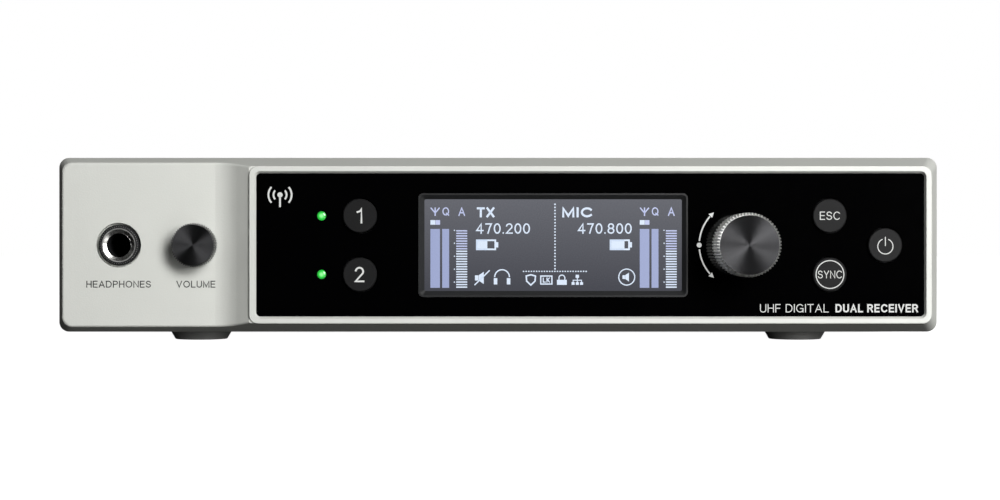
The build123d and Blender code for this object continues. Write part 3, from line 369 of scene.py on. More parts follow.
# each letter of the panel's sans serif: its width and its pen strokes, capitals one unit high
GLYPHS = {
    "A": (0.70, [[(0, 0), (0.35, 1), (0.70, 0)], [(0.125, 0.34), (0.575, 0.34)]]),
    "C": (0.70, [bow(0.38, 0.5, 0.38, 0.5, 42, 318, 20)]),
    "D": (0.66, [[(0, 0), (0, 1), (0.28, 1)] + bow(0.28, 0.5, 0.38, 0.5, 80, -80) + [(0.28, 0), (0, 0)]]),
    "E": (0.52, [[(0.52, 1), (0, 1), (0, 0), (0.52, 0)], [(0, 0.52), (0.47, 0.52)]]),
    "F": (0.50, [[(0.50, 1), (0, 1), (0, 0)], [(0, 0.5), (0.44, 0.5)]]),
    "G": (0.74, [bow(0.38, 0.5, 0.38, 0.5, 42, 318, 20) + [(0.70, 0.0)],
                 [(0.42, 0.46), (0.72, 0.46), (0.72, 0.0)]]),
    "H": (0.60, [[(0, 0), (0, 1)], [(0.60, 0), (0.60, 1)], [(0, 0.52), (0.60, 0.52)]]),
    "I": (0.0, [[(0, 0), (0, 1)]]),
    "K": (0.58, [[(0, 0), (0, 1)], [(0.56, 1), (0, 0.40)], [(0.17, 0.58), (0.58, 0)]]),
    "L": (0.48, [[(0, 1), (0, 0), (0.48, 0)]]),
    "M": (0.74, [[(0, 0), (0, 1), (0.37, 0.06), (0.74, 1), (0.74, 0)]]),
    "N": (0.60, [[(0, 0), (0, 1), (0.60, 0), (0.60, 1)]]),
    "O": (0.78, [oval(0.39, 0.5, 0.39, 0.5)]),
    "P": (0.56, [[(0, 0), (0, 1), (0.30, 1)] + bow(0.30, 0.74, 0.26, 0.26, 80, -80)
                 + [(0.30, 0.48), (0, 0.48)]]),
    "Q": (0.78, [oval(0.39, 0.5, 0.39, 0.5), [(0.48, 0.24), (0.78, -0.02)]]),
    "R": (0.60, [[(0, 0), (0, 1), (0.32, 1)] + bow(0.32, 0.745, 0.26, 0.255, 80, -80)
                 + [(0.32, 0.49), (0, 0.49)],
                 [(0.34, 0.49), (0.60, 0)]]),
    "S": (0.58, [bow(0.29, 0.755, 0.26, 0.245, 15, 262) + bow(0.29, 0.255, 0.29, 0.255, 82, -165)]),
    "T": (0.60, [[(0, 1), (0.60, 1)], [(0.30, 1), (0.30, 0)]]),
    "U": (0.60, [[(0, 1), (0, 0.3)] + bow(0.30, 0.30, 0.30, 0.30, 190, 350) + [(0.60, 0.3), (0.60, 1)]]),
    "V": (0.66, [[(0, 1), (0.33, 0), (0.66, 1)]]),
    "X": (0.62, [[(0, 0), (0.62, 1)], [(0, 1), (0.62, 0)]]),
    "Y": (0.62, [[(0, 1), (0.31, 0.44), (0.62, 1)], [(0.31, 0.44), (0.31, 0)]]),
    "0": (0.54, [oval(0.27, 0.5, 0.27, 0.5)]),
    "1": (0.27, [[(0, 0.77), (0.19, 0.84), (0.27, 1.0), (0.27, 0)]]),
    "2": (0.54, [bow(0.27, 0.72, 0.26, 0.28, 165, -30) + [(0, 0), (0.55, 0)]]),
    "4": (0.60, [[(0.43, 0), (0.43, 1), (0, 0.28), (0.60, 0.28)]]),
    "7": (0.52, [[(0, 1), (0.52, 1), (0.36, 0.62), (0.20, 0)]]),
    "8": (0.54, [oval(0.27, 0.755, 0.235, 0.245), oval(0.27, 0.26, 0.27, 0.26)]),
    ".": (0.03, [[(0.015, 0), (0.015, 0.02)]]),
}


# ---------------------------------------------------------------- shape toolkit
SHARPEST_TURN = 0.5  # keeps the corner of a line that turns sharply from reaching too far out


class Print:
    """Flat shapes facing the viewer, in millimetres from an origin, made into one thin piece."""

    def __init__(self, x, y, z):
        self.origin = Vector((x, y, z))
        self.shapes = bmesh.new()

    def polygon(self, points):
        """A filled outline, given anticlockwise."""
        self.shapes.faces.new([self.shapes.verts.new((x * MM, 0, z * MM)) for x, z in points])

    def rect(self, left, low, right, high):
        """A filled rectangle."""
        self.polygon([(left, low), (right, low), (right, high), (left, high)])

    def disc(self, x, z, radius, sides=40):
        """A filled circle."""
        self.polygon(bow(x, z, radius, radius, 0, 360, sides)[:-1])

    def stroke(self, points, width, closed=False):
        """A line of even width through the points."""
        path = [Vector(p) for p in points]
        count = len(path)
        sides = []
        for i, here in enumerate(path):
            before = path[i - 1] if i or closed else here
            after = path[(i + 1) % count] if i < count - 1 or closed else here
            along_in = (here - before).normalized() if before != here else (after - here).normalized()
            along_out = (after - here).normalized() if after != here else along_in
            along = (along_in + along_out).normalized()
            across = Vector((-along.y, along.x)) * (width / 2 / max(SHARPEST_TURN, along.dot(along_in)))
            sides.append((here + across, here - across))
        for i in range(count if closed else count - 1):
            (left_a, right_a), (left_b, right_b) = sides[i], sides[(i + 1) % count]
            self.polygon([right_a, right_b, left_b, left_a])

    def arc(self, x, z, radius, start, end, width, sides=48):
        """A curved line round (x, z) from one angle to another, in degrees."""
        self.stroke(bow(x, z, radius, radius, start, end, sides), width)

    def ring(self, x, z, radius, width, sides=64):
        """A full circle drawn with a line."""
        self.stroke(bow(x, z, radius, radius, 0, 360, sides)[:-1], width, closed=True)

    def text(self, words, x, z, height, width, weight, align="CENTER"):
        """Words standing on z, with capitals of this height, fitted to width.

        x is their left edge, middle or right edge, as align says; weight is the line's part of the height.
        """
        line_w = weight * height
        letters = [letter for letter in words if letter != " "]
        natural = sum(GLYPHS[letter][0] for letter in letters) + LETTER_GAP * (len(letters) - 1)
        natural += WORD_GAP * words.count(" ")
        scale_x, scale_z = (width - line_w * len(letters)) / natural, height - line_w
        pen = x - width * ANCHOR[align] + line_w / 2
        for letter in words:
            if letter == " ":
                pen += WORD_GAP * scale_x
                continue
            wide, lines = GLYPHS[letter]
            for line in lines:
                points = [Vector((pen + u * scale_x, z + line_w / 2 + v * scale_z)) for u, v in line]
                closed = line[0] == line[-1]
                if closed:
                    points.pop()
                else:
                    points[0] += (points[0] - points[1]).normalized() * line_w / 2
                    points[-1] += (points[-1] - points[-2]).normalized() * line_w / 2
                self.stroke(points, line_w, closed)
            pen += (wide + LETTER_GAP) * scale_x + line_w

    def make(self, name, material, body, slot):
        """Makes the piece, which rides on body."""
        mesh = bpy.data.meshes.new(name)
        self.shapes.to_mesh(mesh)
        self.shapes.free()
        piece = add_piece(name, mesh, material, body, self.origin)
        thicken = piece.modifiers.new("thickness", "SOLIDIFY")
        thicken.thickness = PRINT_THICK
        thicken.offset = 0


def add_piece(name, mesh, material, body, place=(0, 0, 0)):
    """Puts a mesh in the scene as a piece with one material, riding on a CAD body."""
    piece = bpy.data.objects.new(name, mesh)
    bpy.context.scene.collection.objects.link(piece)
    mesh.materials.append(material)
    piece.location = place
    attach(piece, body)
    return piece


ROUND_SIDES = 96  # faces round a plain turned piece
RIDGE_SIDES = 8  # faces round a knurled piece for each of its ridges
RIM_FACING = 0.95  # faces that turn further from the axis than this cosine are the piece's rim


def lathe(name, axis, profile, sides, material, body, teeth=0, closed=False, smooth=30, rim=None):
    """A solid turned about a line along Y through axis.

    profile lists (radius, y, tooth depth) in millimetres, y counted from axis.y; teeth is the number of
    ridges cut into the rows that have a depth. A closed profile makes a ring. Edges under smooth degrees
    are shaded round, and rim is the material of the sides, where they have their own.
    """
    shape = bmesh.new()
    rows = []
    for radius, y, depth in profile:
        if radius == 0:
            rows.append([shape.verts.new((0, y * MM, 0))])
            continue
        row = []
        for i in range(sides):
            angle = 2 * pi * i / sides
            r = radius - depth * (1 - abs(cos(teeth * angle / 2)))
            row.append(shape.verts.new((r * cos(angle) * MM, y * MM, r * sin(angle) * MM)))
        rows.append(row)
    pairs = list(zip(rows, rows[1:]))
    if closed:
        pairs.append((rows[-1], rows[0]))
    for a, b in pairs:
        for i in range(sides):
            j = (i + 1) % sides
            corners = [a[i % len(a)], b[i % len(b)], b[j % len(b)], a[j % len(a)]]
            shape.faces.new(list(dict.fromkeys(corners)))
    bmesh.ops.recalc_face_normals(shape, faces=shape.faces)
    for edge in shape.edges:
        edge.smooth = edge.calc_face_angle(0) < radians(smooth)
    for face in shape.faces:
        face.smooth = True
        face.material_index = 1 if rim and abs(face.normal.y) < RIM_FACING else 0
    mesh = bpy.data.meshes.new(name)
    shape.to_mesh(mesh)
    shape.free()
    mesh.transform(Matrix.Translation(axis))
    piece = add_piece(name, mesh, material, body)
    if rim:
        mesh.materials.append(rim)
    return piece


# ---------------------------------------------------------------- knobs
FACE_EDGE_R, FACE_EDGE_Y = 0.06, 0.05  # bevel round a knob's face
CORE_CLEAR = 0.05  # the turned core stays this far inside the roots of the ridges
PLAIN_END = 0.16  # length without ridges at a knob's front, and the bevel at its back
GROOVE_W = 0.25
GROOVE_SLOPE = 0.2
BACK_EASE = 0.1  # the ridges are this much shallower on the bevel at the back


def knob(name, node_name, body, teeth, depth, groove_at, rim, recess_r=0.0, recess_y=0.0):
    """A knob with two knurled bands, a ring groove between them and a turned face."""
    low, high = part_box(node_name)
    axis = Vector(((low.x + high.x) / 2, low.y, (low.z + high.z) / 2))
    tip = (high.x - low.x) / 2 / MM
    length = (high.y - low.y) / MM
    root = tip - depth - CORE_CLEAR
    groove_end = groove_at + GROOVE_W
    profile = [
        (0, 0.0, 0),
        (root - FACE_EDGE_R, 0.0, 0),
        (root, FACE_EDGE_Y, 0),
        (root, PLAIN_END, 0),
        (tip, PLAIN_END + depth, depth),
        (tip, groove_at - GROOVE_SLOPE, depth),
        (root, groove_at, 0),
        (root, groove_end, 0),
        (tip, groove_end + depth, depth),
        (tip, length - PLAIN_END, depth),
        (tip - PLAIN_END, length, depth - BACK_EASE),
    ]
    if recess_r:
        floor_y = length - recess_y
        profile += [(recess_r, length, 0), (recess_r, floor_y, 0), (0, floor_y, 0)]
    else:
        profile.append((0, length, 0))
    face, slot = SLOTS["dark_aluminium"], "dark_aluminium"
    piece = lathe(name, axis, profile, teeth * RIDGE_SIDES, face, body, teeth, rim=rim)
    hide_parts(node_name)
    return piece


KNOBS = [
    knob("jog_dial_knurled", "encoder_knob", "dial", teeth=60, depth=0.50, groove_at=5.4, rim=KNURL),
    knob("volume_knob_knurled", "volume_knob", "volume", teeth=56, depth=0.24, groove_at=2.4,
         rim=DARK_KNURL, recess_r=4.4, recess_y=1.5),
]


# ---------------------------------------------------------------- headphone socket
NUT_TEETH = 52
NUT_TOOTH = 0.24
NUT_INSET = 0.40  # the serrated nut is this much smaller than the black ring round it, a painted shade that stands in for the shadowed gap in the panel's hole
BORE_INSET = 1.14  # from the black shade ring's edge to the nut's bore
NUT_BACK = 0.30  # where the nut rests on the black shade ring, counted from the nut's front
SHADE_RING_LAP = 0.3
SHADE_RING_EDGE = 0.04
FUNNEL_W = 0.90  # how far the funnel closes in on the bore
FUNNEL_BACK = 0.95
FUNNEL_CLEAR = 0.02


def phones_ring():
    """The serrated ring nut on a black ring, painted shade for the shadowed gap round it, and the polished
    funnel of the socket's mouth.
    """
    low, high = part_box("phones_nut")
    axis = Vector((PHONES.x, low.y, PHONES.z))
    outer = (high.x - low.x) / 2 / MM
    deep = (high.y - low.y) / MM
    tip, bore = outer - NUT_INSET, outer - BORE_INSET
    # painted shade: a black ring where the gap between the nut and the panel's hole lies in shadow
    shade_ring = [
        (tip - SHADE_RING_LAP, NUT_BACK, 0),
        (outer - SHADE_RING_EDGE, NUT_BACK, 0),
        (outer, NUT_BACK + SHADE_RING_EDGE, 0),
        (outer, deep, 0),
        (tip - SHADE_RING_LAP, deep, 0),
    ]
    black = SLOTS["display_black"]
    lathe("headphone_shade_ring", axis, shade_ring, ROUND_SIDES, black, "housing", closed=True)
    ring = [
        (bore, NUT_BACK, 0),
        (bore, 0.08, 0),
        (bore + 0.06, 0.02, 0),
        (tip - 0.40, 0.0, 0),
        (tip - 0.10, 0.02, NUT_TOOTH),
        (tip, 0.12, NUT_TOOTH),
        (tip, NUT_BACK, NUT_TOOTH),
    ]
    sides = NUT_TEETH * RIDGE_SIDES
    nut = lathe("headphone_ring_nut", axis, ring, sides, KNURL, "housing", NUT_TEETH, closed=True)
    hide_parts("phones_nut")
    lip = bore - FUNNEL_W
    funnel = [
        (bore - FUNNEL_CLEAR, 0.06, 0),
        (lip + 0.12, 0.40, 0),
        (lip + 0.08, 0.42, 0),
        (lip + 0.03, 0.40, 0),
        (lip, 0.46, 0),
        (lip, FUNNEL_BACK, 0),
        (bore - FUNNEL_CLEAR, FUNNEL_BACK, 0),
    ]
    lathe("headphone_mouth", axis, funnel, ROUND_SIDES, SATIN_NICKEL, "housing", closed=True,
          smooth=50)


phones_ring()


# ---------------------------------------------------------------- status lights
PIPE_FLANGE_R = 1.63 * MM
DOME = [(0, -0.22, 0), (0.45, -0.19, 0), (0.80, -0.08, 0), (1.0, 0.02, 0), (1.0, 0.3, 0), (0, 0.3, 0)]
DOME_SIDES = 32


def status_lights():
    """A low domed lens over the end of each of the two light pipes."""
    low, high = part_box("light_pipes")
    green = SLOTS["clear_pipe"]
    for number, z in ((1, high.z - PIPE_FLANGE_R), (2, low.z + PIPE_FLANGE_R)):
        end = Vector(((low.x + high.x) / 2, WINDOW_Y, z))
        lathe(f"status_lens_{number}", end, DOME, DOME_SIDES, green, "housing")


status_lights()


# ---------------------------------------------------------------- printing on the front
NAME_FOOT, NAME_HIGH, NAME_WEIGHT = -10.15, 1.64, 0.14  # under the headphone socket and the volume knob

WAVE_X, WAVE_Z = 6.2, 29.4  # middle of the radio-wave sign, from the window's lower left corner
WAVE_DOT_R, WAVE_MAST, WAVE_LINE = 0.62, 2.9, 0.42
WAVE_RADII = (1.55, 2.75)
WAVE_REACH = 42  # degrees that its waves reach up and down
TITLE_FOOT, TITLE_HIGH = 1.5, 1.98
TITLES = [("UHF DIGITAL", 120.1, 16.3, 0.10), ("DUAL RECEIVER", 138.0, 19.6, 0.185)]  # left, width, weight

TURN_R = 10.35  # radius of the double arrow beside the jog dial
TURN_REACH = 46.0  # degrees from its dot to each of its tips
TURN_DOT_R, TURN_LINE = 0.58, 0.34
DOT_GAP, HEAD_GAP = 5.5, 5.0  # degrees that the line leaves free for its dot and its heads
HEAD_AHEAD, HEAD_BEHIND, HEAD_HALF_W = 0.45, 0.75, 0.62

KEY_WORDS = {  # each key's word, the word's middle and foot, its height, its width and its weight
    "1": ("1", -0.1, -1.83, 3.65, 1.35, 0.115),
    "2": ("2", -0.1, -1.83, 3.65, 2.25, 0.115),
    "escape": ("ESC", 0, -0.98, 1.96, 4.8, 0.105),
    "sync": ("SYNC", 0, -0.92, 1.84, 5.75, 0.10),
}
SYNC_RING_R, SYNC_LINE = 3.29, 0.22
POWER_R, POWER_Z, POWER_LINE = 1.80, -0.3, 0.21
POWER_START, POWER_END = 112, 428  # degrees, open at the top
POWER_BAR_LOW, POWER_BAR_TOP = -0.2, 1.95


def bezel_print():
    """Names under the headphone socket and the volume knob."""
    names = Print(PHONES.x, AUDIO_Y - HAIR, PHONES.z)
    for word, x, width in (("HEADPHONES", PHONES.x, 15.45), ("VOLUME", VOLUME.x, 9.3)):
        names.text(word, (x - PHONES.x) / MM, NAME_FOOT, NAME_HIGH, width, NAME_WEIGHT)
    names.make("print_socket_names", DARK_PRINT, "housing", "display_black")


def window_print():
    """The maker's corner gets a plain radio-wave sign; the rest names what the unit is."""
    marks = Print(WINDOW_LOW.x, WINDOW_Y - HAIR, WINDOW_LOW.z)
    marks.disc(WAVE_X, WAVE_Z, WAVE_DOT_R)
    marks.stroke([(WAVE_X, WAVE_Z - WAVE_MAST), (WAVE_X, WAVE_Z)], WAVE_LINE)
    for radius in WAVE_RADII:
        for aim in (0, 180):
            marks.arc(WAVE_X, WAVE_Z, radius, aim - WAVE_REACH, aim + WAVE_REACH, WAVE_LINE)
    for words, left, width, weight in TITLES:
        marks.text(words, left, TITLE_FOOT, TITLE_HIGH, width, weight, "LEFT")
    marks.make("print_window", GLOWING_WHITE_PRINT, "housing", "white_plastic")


def dial_print():
    """The curved double arrow to the left of the jog dial, with its dot."""
    turn = Print(DIAL.x, WINDOW_Y - HAIR, DIAL.z)
    turn.arc(0, 0, TURN_R, 180 - TURN_REACH + HEAD_GAP, 180 - DOT_GAP, TURN_LINE)
    turn.arc(0, 0, TURN_R, 180 + DOT_GAP, 180 + TURN_REACH - HEAD_GAP, TURN_LINE)
    turn.disc(-TURN_R, 0, TURN_DOT_R)
    for side in (-1, 1):
        angle = radians(180 - side * TURN_REACH)
        tip = Vector((cos(angle), sin(angle))) * TURN_R
        ahead = Vector((sin(angle), -cos(angle))) * side
        across = Vector((-ahead.y, ahead.x)) * HEAD_HALF_W
        back = tip - ahead * HEAD_BEHIND
        turn.polygon([tip + ahead * HEAD_AHEAD, back + across, back - across])
    turn.make("print_dial_arrows", GLOWING_WHITE_PRINT, "housing", "white_plastic")


def key_print():
    """The signs on the five keys; each moves with its key."""
    for key in KEYS:
        middle = centre(f"button_{key}")
        sign = Print(middle.x, front_y(f"button_{key}") - HAIR, middle.z)
        if key in KEY_WORDS:
            sign.text(*KEY_WORDS[key])
        if key == "sync":
            sign.ring(0, 0, SYNC_RING_R, SYNC_LINE)
        if key == "power":
            sign.arc(0, POWER_Z, POWER_R, POWER_START, POWER_END, POWER_LINE)
            sign.stroke([(0, POWER_BAR_TOP), (0, POWER_BAR_LOW)], POWER_LINE)
        sign.make(f"print_key_{key}", GLOWING_WHITE_PRINT, f"key_{key}", "white_plastic")


bezel_print()
window_print()
dial_print()
key_print()


# ---------------------------------------------------------------- what the display shows
SCREEN_W, SCREEN_H = 61.2, 21.8
SCREEN_X = centre("display_glass").x - SCREEN_W / 2 * MM
SCREEN_Z = centre("display_glass").z - SCREEN_H / 2 * MM

BAR_LOW, BAR_TOP = 0.75, 14.75  # foot and head of the signal bars and the meters
WIDE_BAR_W, THIN_BAR_W = 2.27, 1.65
THIN_BAR_X, ANTENNA_X = 2.80, 1.13  # thin bar and antenna sign, from the wide bar's left edge
METER_LINES, BRIGHT_LINES, METER_LINE = 23, 15, 0.32
METER_DOTS, DOT_LOW, DOT_PITCH = 5, 1.35, 3.08
BLOCK_LOW, BLOCK_HIGH, BLOCK_W, BLOCK_GAP = 15.75, 16.85, 1.15, 0.05  # the pair over the wide bar

SIGN_FOOT = 1.35  # foot of the row of small signs
NAME_Z, FREQUENCY_Z, BATTERY_Z = 17.5, 13.6, 9.7  # their feet
BATTERY_W, BATTERY_H, BATTERY_LINE = 4.8, 2.55, 0.40

RULE_STEP, RULE_RISE, RULE_DOT = 0.62, 0.73, 0.34  # pitch of the dotted lines along and up, and their dots
RULE_UP_X, RULE_UP_Z, RULE_UP_DOTS = 30.86, 5.1, 22
RULE_ALONG_X, RULE_ALONG_Z, RULE_ALONG_DOTS = 23.4, 4.52, 25


def screen_layer():
    """An empty drawing on the display's face, with the display's lower left corner as its origin."""
    return Print(SCREEN_X, GLASS_LOW.y - HAIR, SCREEN_Z)


def level_bars(layer, left):
    """Two signal bars: antenna and quality."""
    layer.rect(left, BAR_LOW, left + WIDE_BAR_W, BAR_TOP)
    layer.rect(left + THIN_BAR_X, BAR_LOW, left + THIN_BAR_X + THIN_BAR_W, BAR_TOP)


def antenna_blocks(bright, dim, left):
    """Two short blocks over the antenna bar, the bright one for the antenna in use."""
    bright.rect(left, BLOCK_LOW, left + BLOCK_W, BLOCK_HIGH)
    dim.rect(left + BLOCK_W + BLOCK_GAP, BLOCK_LOW, left + BLOCK_W * 2, BLOCK_HIGH)


def audio_meter(bright, dim, left, width):
    """A ladder of lines, dimmer towards the top, with dots beside it."""
    for i in range(METER_LINES):
        low = BAR_LOW + (BAR_TOP - BAR_LOW) * i / METER_LINES
        layer = bright if i < BRIGHT_LINES else dim
        layer.rect(left, low, left + width, low + METER_LINE)
    for i in range(METER_DOTS):
        bright.disc(left - 0.42, BAR_LOW + DOT_LOW + DOT_PITCH * i, 0.16, 8)


def meter_heads(layer, left, audio_x):
    """The signs over the bars: an antenna, the letters Q and A."""
    mast = left + ANTENNA_X
    layer.stroke([(mast, 17.85), (mast, 19.85)], 0.30)
    layer.stroke([(mast - 1.05, 19.80), (mast, 18.55), (mast + 1.05, 19.80)], 0.30)
    layer.text("Q", left + 3.65, 17.95, 1.95, 1.6, 0.14)
    layer.text("A", audio_x, 17.85, 2.05, 1.6, 0.14)


def battery(layer, left, low, charge):
    """A battery outline with a filled part of this length."""
    layer.rect(left, low, left + charge, low + BATTERY_H)
    edge = BATTERY_LINE / 2
    right, high = left + BATTERY_W - edge, low + BATTERY_H - edge
    corners = [(left + edge, low + edge), (right, low + edge), (right, high), (left + edge, high)]
    layer.stroke(corners, BATTERY_LINE, closed=True)
    layer.rect(left + BATTERY_W, low + 0.65, left + BATTERY_W + 0.5, low + 1.9)


def speaker(layer, x, z, size):
    """A loudspeaker sign, its left edge middle at (x, z)."""
    box = 0.42 * size
    neck, mouth = x + 0.6 * size, x + 1.45 * size
    layer.rect(x, z - box, x + 0.55 * size, z + box)
    layer.polygon([(neck, z - box), (mouth, z - size), (mouth, z + size), (neck, z + box)])


def headphones(layer, x, z):
    """A headband with two ear cups."""
    layer.arc(x, z, 1.75, 0, 180, 0.30)
    for side in (-1, 1):
        cup = x + side * 1.55
        layer.rect(cup - 0.42, z - 1.75, cup + 0.42, z - 0.25)


def shield_sign(layer, x, z):
    """A shield, its middle at x."""
    upper = [(x - 1.1, z + 2.2), (x, z + 2.5), (x + 1.1, z + 2.2)]
    lower = [(x + 1.0, z + 1.0), (x, z + 0.05), (x - 1.0, z + 1.0)]
    layer.stroke(upper + lower, 0.34, closed=True)


def link_sign(layer, left, z):
    """Two letters in a frame."""
    right, low, high = left + 2.65, z + 0.3, z + 2.2
    layer.stroke([(left, low), (right, low), (right, high), (left, high)], 0.30, closed=True)
    layer.text("LK", left + 1.33, z + 0.65, 1.2, 1.7, 0.2)


def lock_sign(layer, x, z):
    """A padlock, its middle at x."""
    shackle, top = 0.70, z + 1.72
    layer.rect(x - 1.18, z + 0.1, x + 1.17, z + 1.3)
    layer.arc(x, top, shackle, 0, 180, 0.26, 16)
    for leg in (x - shackle, x + shackle):
        layer.stroke([(leg, z + 1.25), (leg, top)], 0.26)


def network_sign(layer, x, z):
    """One box over three, joined by lines, its middle at x."""
    rail = z + 1.2
    for box in (x - 1.0, x, x + 1.0):
        layer.rect(box - 0.36, z + 0.1, box + 0.36, z + 0.75)
        layer.stroke([(box, z + 0.7), (box, rail)], 0.2)
    layer.stroke([(x - 1.1, rail), (x + 1.1, rail)], 0.22)
    layer.rect(x - 0.4, z + 1.75, x + 0.4, z + 2.5)
    layer.stroke([(x, rail), (x, z + 1.8)], 0.2)


def dotted_rules(layer):
    """The upright line between the two channels and the line over the small signs."""
    for i in range(RULE_UP_DOTS):
        low = RULE_UP_Z + RULE_RISE * i
        layer.rect(RULE_UP_X, low, RULE_UP_X + 0.36, low + RULE_DOT)
    for i in range(RULE_ALONG_DOTS):
        left = RULE_ALONG_X + RULE_STEP * i
        layer.rect(left, RULE_ALONG_Z, left + RULE_DOT, RULE_ALONG_Z + 0.28)


def display_contents():
    """Two channels side by side: bars and meters outside, names and frequencies inside."""
    white, blue, dim = screen_layer(), screen_layer(), screen_layer()
    for left, audio_left, audio_w in ((1.41, 7.55, 2.62), (51.2, 57.4, 2.6)):
        level_bars(blue, left)
        audio_meter(white, dim, audio_left, audio_w)
        meter_heads(dim, left, audio_left + audio_w / 2)
        antenna_blocks(white, dim, left)
    white.text("TX", 12.45, NAME_Z, 2.4, 4.2, 0.21, "LEFT")
    white.text("470.200", 12.25, FREQUENCY_Z, 2.5, 12.85, 0.13, "LEFT")
    white.text("MIC", 32.75, NAME_Z, 2.4, 7.2, 0.21, "LEFT")
    white.text("470.800", 49.3, FREQUENCY_Z, 2.5, 12.85, 0.13, "RIGHT")
    battery(white, 12.25, BATTERY_Z, 2.7)
    battery(white, 44.05, BATTERY_Z, 3.51)
    speaker(white, 12.0, 3.1, 1.45)
    white.stroke([(11.9, 1.4), (15.5, 4.9)], 0.30)
    headphones(white, 18.45, 3.3)
    white.ring(48.1, 3.3, 1.9, 0.26)
    speaker(white, 47.1, 3.3, 1.05)
    shield_sign(white, 25.3, SIGN_FOOT)
    link_sign(white, 27.65, SIGN_FOOT)
    lock_sign(white, 32.68, SIGN_FOOT)
    network_sign(white, 36.35, SIGN_FOOT)
    dotted_rules(white)
    white.make("screen_white_signs", SCREEN_WHITE, "housing", "display_face")
    blue.make("screen_signal_bars", SCREEN_BLUE, "housing", "display_face")
    dim.make("screen_dim_signs", SCREEN_DIM, "housing", "display_face")


display_contents()


# ---------------------------------------------------------------- camera, floor and room
CAMERA_X, CAMERA_AWAY, CAMERA_Z = 0.48 * MM, 533.0 * MM, 22.14 * MM
CAMERA_LENS, CAMERA_SENSOR = 68.42, 36.0
FLOOR_HALF = 6.0  # from the floor's middle to its edge
FLOOR_GAP = 0.1 * MM  # between the feet and the floor
ROOM_TOP = 0.06  # brightness of the room overhead; it falls to nothing at the horizon
ROOM_REACH = 0.9  # upward part of a direction at which the room is at its brightest


def add_camera():
    """The photograph's view: level, straight at the front, at half the unit's height."""
    camera = bpy.data.objects.new("camera", bpy.data.cameras.new("camera"))
    camera.location = (CAMERA_X, -CAMERA_AWAY, CAMERA_Z)
    camera.rotation_euler = (pi / 2, 0, 0)
    camera.data.lens = CAMERA_LENS
    camera.data.sensor_width = CAMERA_SENSOR
    camera.data.clip_start = 0.01
    bpy.context.scene.collection.objects.link(camera)
    bpy.context.scene.camera = camera


def add_floor():
    """A plain pale floor that glows white; it neither lights the unit nor shows in its mirrors."""
    shape = bmesh.new()
    bmesh.ops.create_grid(shape, x_segments=1, y_segments=1, size=FLOOR_HALF)
    mesh = bpy.data.meshes.new("floor")
    shape.to_mesh(mesh)
    shape.free()
    floor = bpy.data.objects.new("floor", mesh)
    bpy.context.scene.collection.objects.link(floor)
    floor.location.z = cad_box[0].z - FLOOR_GAP
    material, tree, shader = new_material("pale_floor")
    pale = mixed(tree, ranged(tree, noise(tree, 12.0), 0, 1), (0.86, 0.86, 0.86), (0.90, 0.90, 0.90))
    tree.links.new(pale, shader.inputs["Base Color"])
    shader.inputs["Roughness"].default_value = 0.9
    shader.inputs["Specular IOR Level"].default_value = 0.0
    shader.inputs["Emission Color"].default_value = (1, 1, 1, 1)
    shader.inputs["Emission Strength"].default_value = 1.0
    mesh.materials.append(material)
    floor.visible_diffuse = False
    floor.visible_glossy = False
    floor.visible_shadow = False


def add_world():
    """White backdrop for the camera; for everything else a dim room, brightest overhead."""
    world = bpy.data.worlds.new("studio")
    world.use_nodes = True
    bpy.context.scene.world = world
    tree = world.node_tree
    tree.nodes.clear()
    output = tree.nodes.new("ShaderNodeOutputWorld")
    backdrop = tree.nodes.new("ShaderNodeBackground")
    room = tree.nodes.new("ShaderNodeBackground")
    switch = tree.nodes.new("ShaderNodeMixShader")
    path = tree.nodes.new("ShaderNodeLightPath")
    place = tree.nodes.new("ShaderNodeTexCoord")
    parts = tree.nodes.new("ShaderNodeSeparateXYZ")
    backdrop.inputs["Color"].default_value = (1, 1, 1, 1)
    tree.links.new(place.outputs["Generated"], parts.inputs["Vector"])
    up = ranged(tree, parts.outputs["Z"], 0.0, ROOM_TOP, 0.0, ROOM_REACH)
    tree.links.new(up, room.inputs["Strength"])
    tree.links.new(path.outputs["Is Camera Ray"], switch.inputs["Fac"])
    tree.links.new(room.outputs["Background"], switch.inputs[1])
    tree.links.new(backdrop.outputs["Background"], switch.inputs[2])
    tree.links.new(switch.outputs["Shader"], output.inputs["Surface"])


add_camera()
add_floor()
add_world()


# ---------------------------------------------------------------- lamps
AIM_Z = 23 * MM  # all lamps point at this height over the middle of the unit

# nodes that reach behind the middle of the unit: the case with all that is mounted on its back
CASE = [
    frame["nodes"][row["node"]]
    for row in frame["record"]["subparts"]
    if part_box(row["node"])[1].y > 0
]
EVERYTHING = None
ONLY_KNOBS = (KNOBS, "INCLUDE")
NOT_KNOBS = (KNOBS, "EXCLUDE")
ONLY_CASE = (CASE, "INCLUDE")

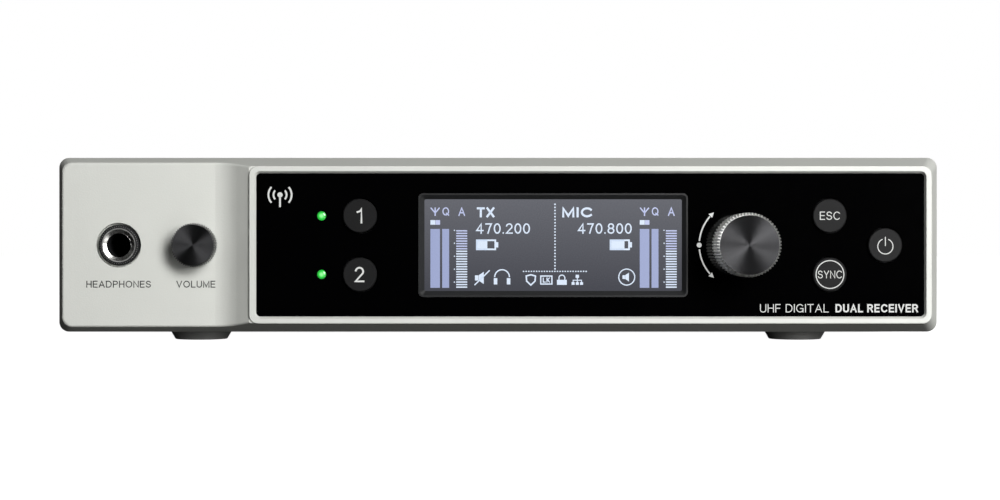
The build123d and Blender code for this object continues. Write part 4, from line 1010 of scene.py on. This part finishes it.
LAMPS = [  # name, azimuth, elevation, distance, size, watts and what it reaches
    ("key_right", 31, 12, 1.1, (0.35, 0.42), 8.0, EVERYTHING),
    ("front_high", 24, 26, 1.1, (0.4, 0.35), 7.6, NOT_KNOBS),
    ("side_right", 52, 8, 1.1, (0.4, 0.5), 0.15, EVERYTHING),
    ("key_left", -38, 10, 1.1, (0.4, 0.5), 0.25, EVERYTHING),
    ("low_right", 34, -22, 1.1, (0.4, 0.3), 1.3, EVERYTHING),
    ("edge_left", -88, 22, 1.1, (0.4, 0.6), 0.35, EVERYTHING),
    ("floor_glow", 0, -50, 1.1, (1.4, 0.5), 0.1, EVERYTHING),
    ("rear_left", -146, 16, 1.1, (0.5, 0.5), 13.0, ONLY_CASE),
    ("rear_right", 150, 18, 1.1, (0.5, 0.5), 9.0, ONLY_CASE),
    ("case_top", 20, 64, 1.2, (0.8, 0.5), 1.6, ONLY_CASE),
    ("knobs_left", -66, 24, 1.1, (0.4, 0.5), 5.0, ONLY_KNOBS),
    ("knobs_front", -34, 22, 1.1, (0.4, 0.4), 5.0, ONLY_KNOBS),
    ("knobs_top", -10, 74, 1.1, (0.6, 0.4), 4.0, ONLY_KNOBS),
    ("knobs_low", 34, -12, 1.1, (0.3, 0.3), 4.9, ONLY_KNOBS),
    ("knobs_high", 34, 21, 1.1, (0.3, 0.3), 3.2, ONLY_KNOBS),
]


def softbox(name, azimuth, elevation, distance, size, watts):
    """A rectangular studio light aimed at the unit; azimuth 0 is in front, 90 to the right."""
    a, e = radians(azimuth), radians(elevation)
    direction = Vector((sin(a) * cos(e), -cos(a) * cos(e), sin(e)))
    lamp = bpy.data.lights.new(name, "AREA")
    lamp.shape = "RECTANGLE"
    lamp.size, lamp.size_y = size
    lamp.energy = watts
    light = bpy.data.objects.new(name, lamp)
    light.location = direction * distance + Vector((0, 0, AIM_Z))
    light.rotation_euler = direction.to_track_quat("Z", "Y").to_euler()
    light.visible_camera = False
    bpy.context.scene.collection.objects.link(light)
    return light


def link_light(light, pieces, state):
    """Makes a light reach only these pieces (INCLUDE), or everything but them (EXCLUDE)."""
    chosen = bpy.data.collections.new(light.name + "_reach")
    for piece in pieces:
        chosen.objects.link(piece)
    light.light_linking.receiver_collection = chosen
    for member in chosen.collection_objects:
        member.light_linking.link_state = state


for *placing, reach in LAMPS:
    light = softbox(*placing)
    if reach:
        link_light(light, *reach)
bpy.context.scene.view_settings.view_transform = "Standard"
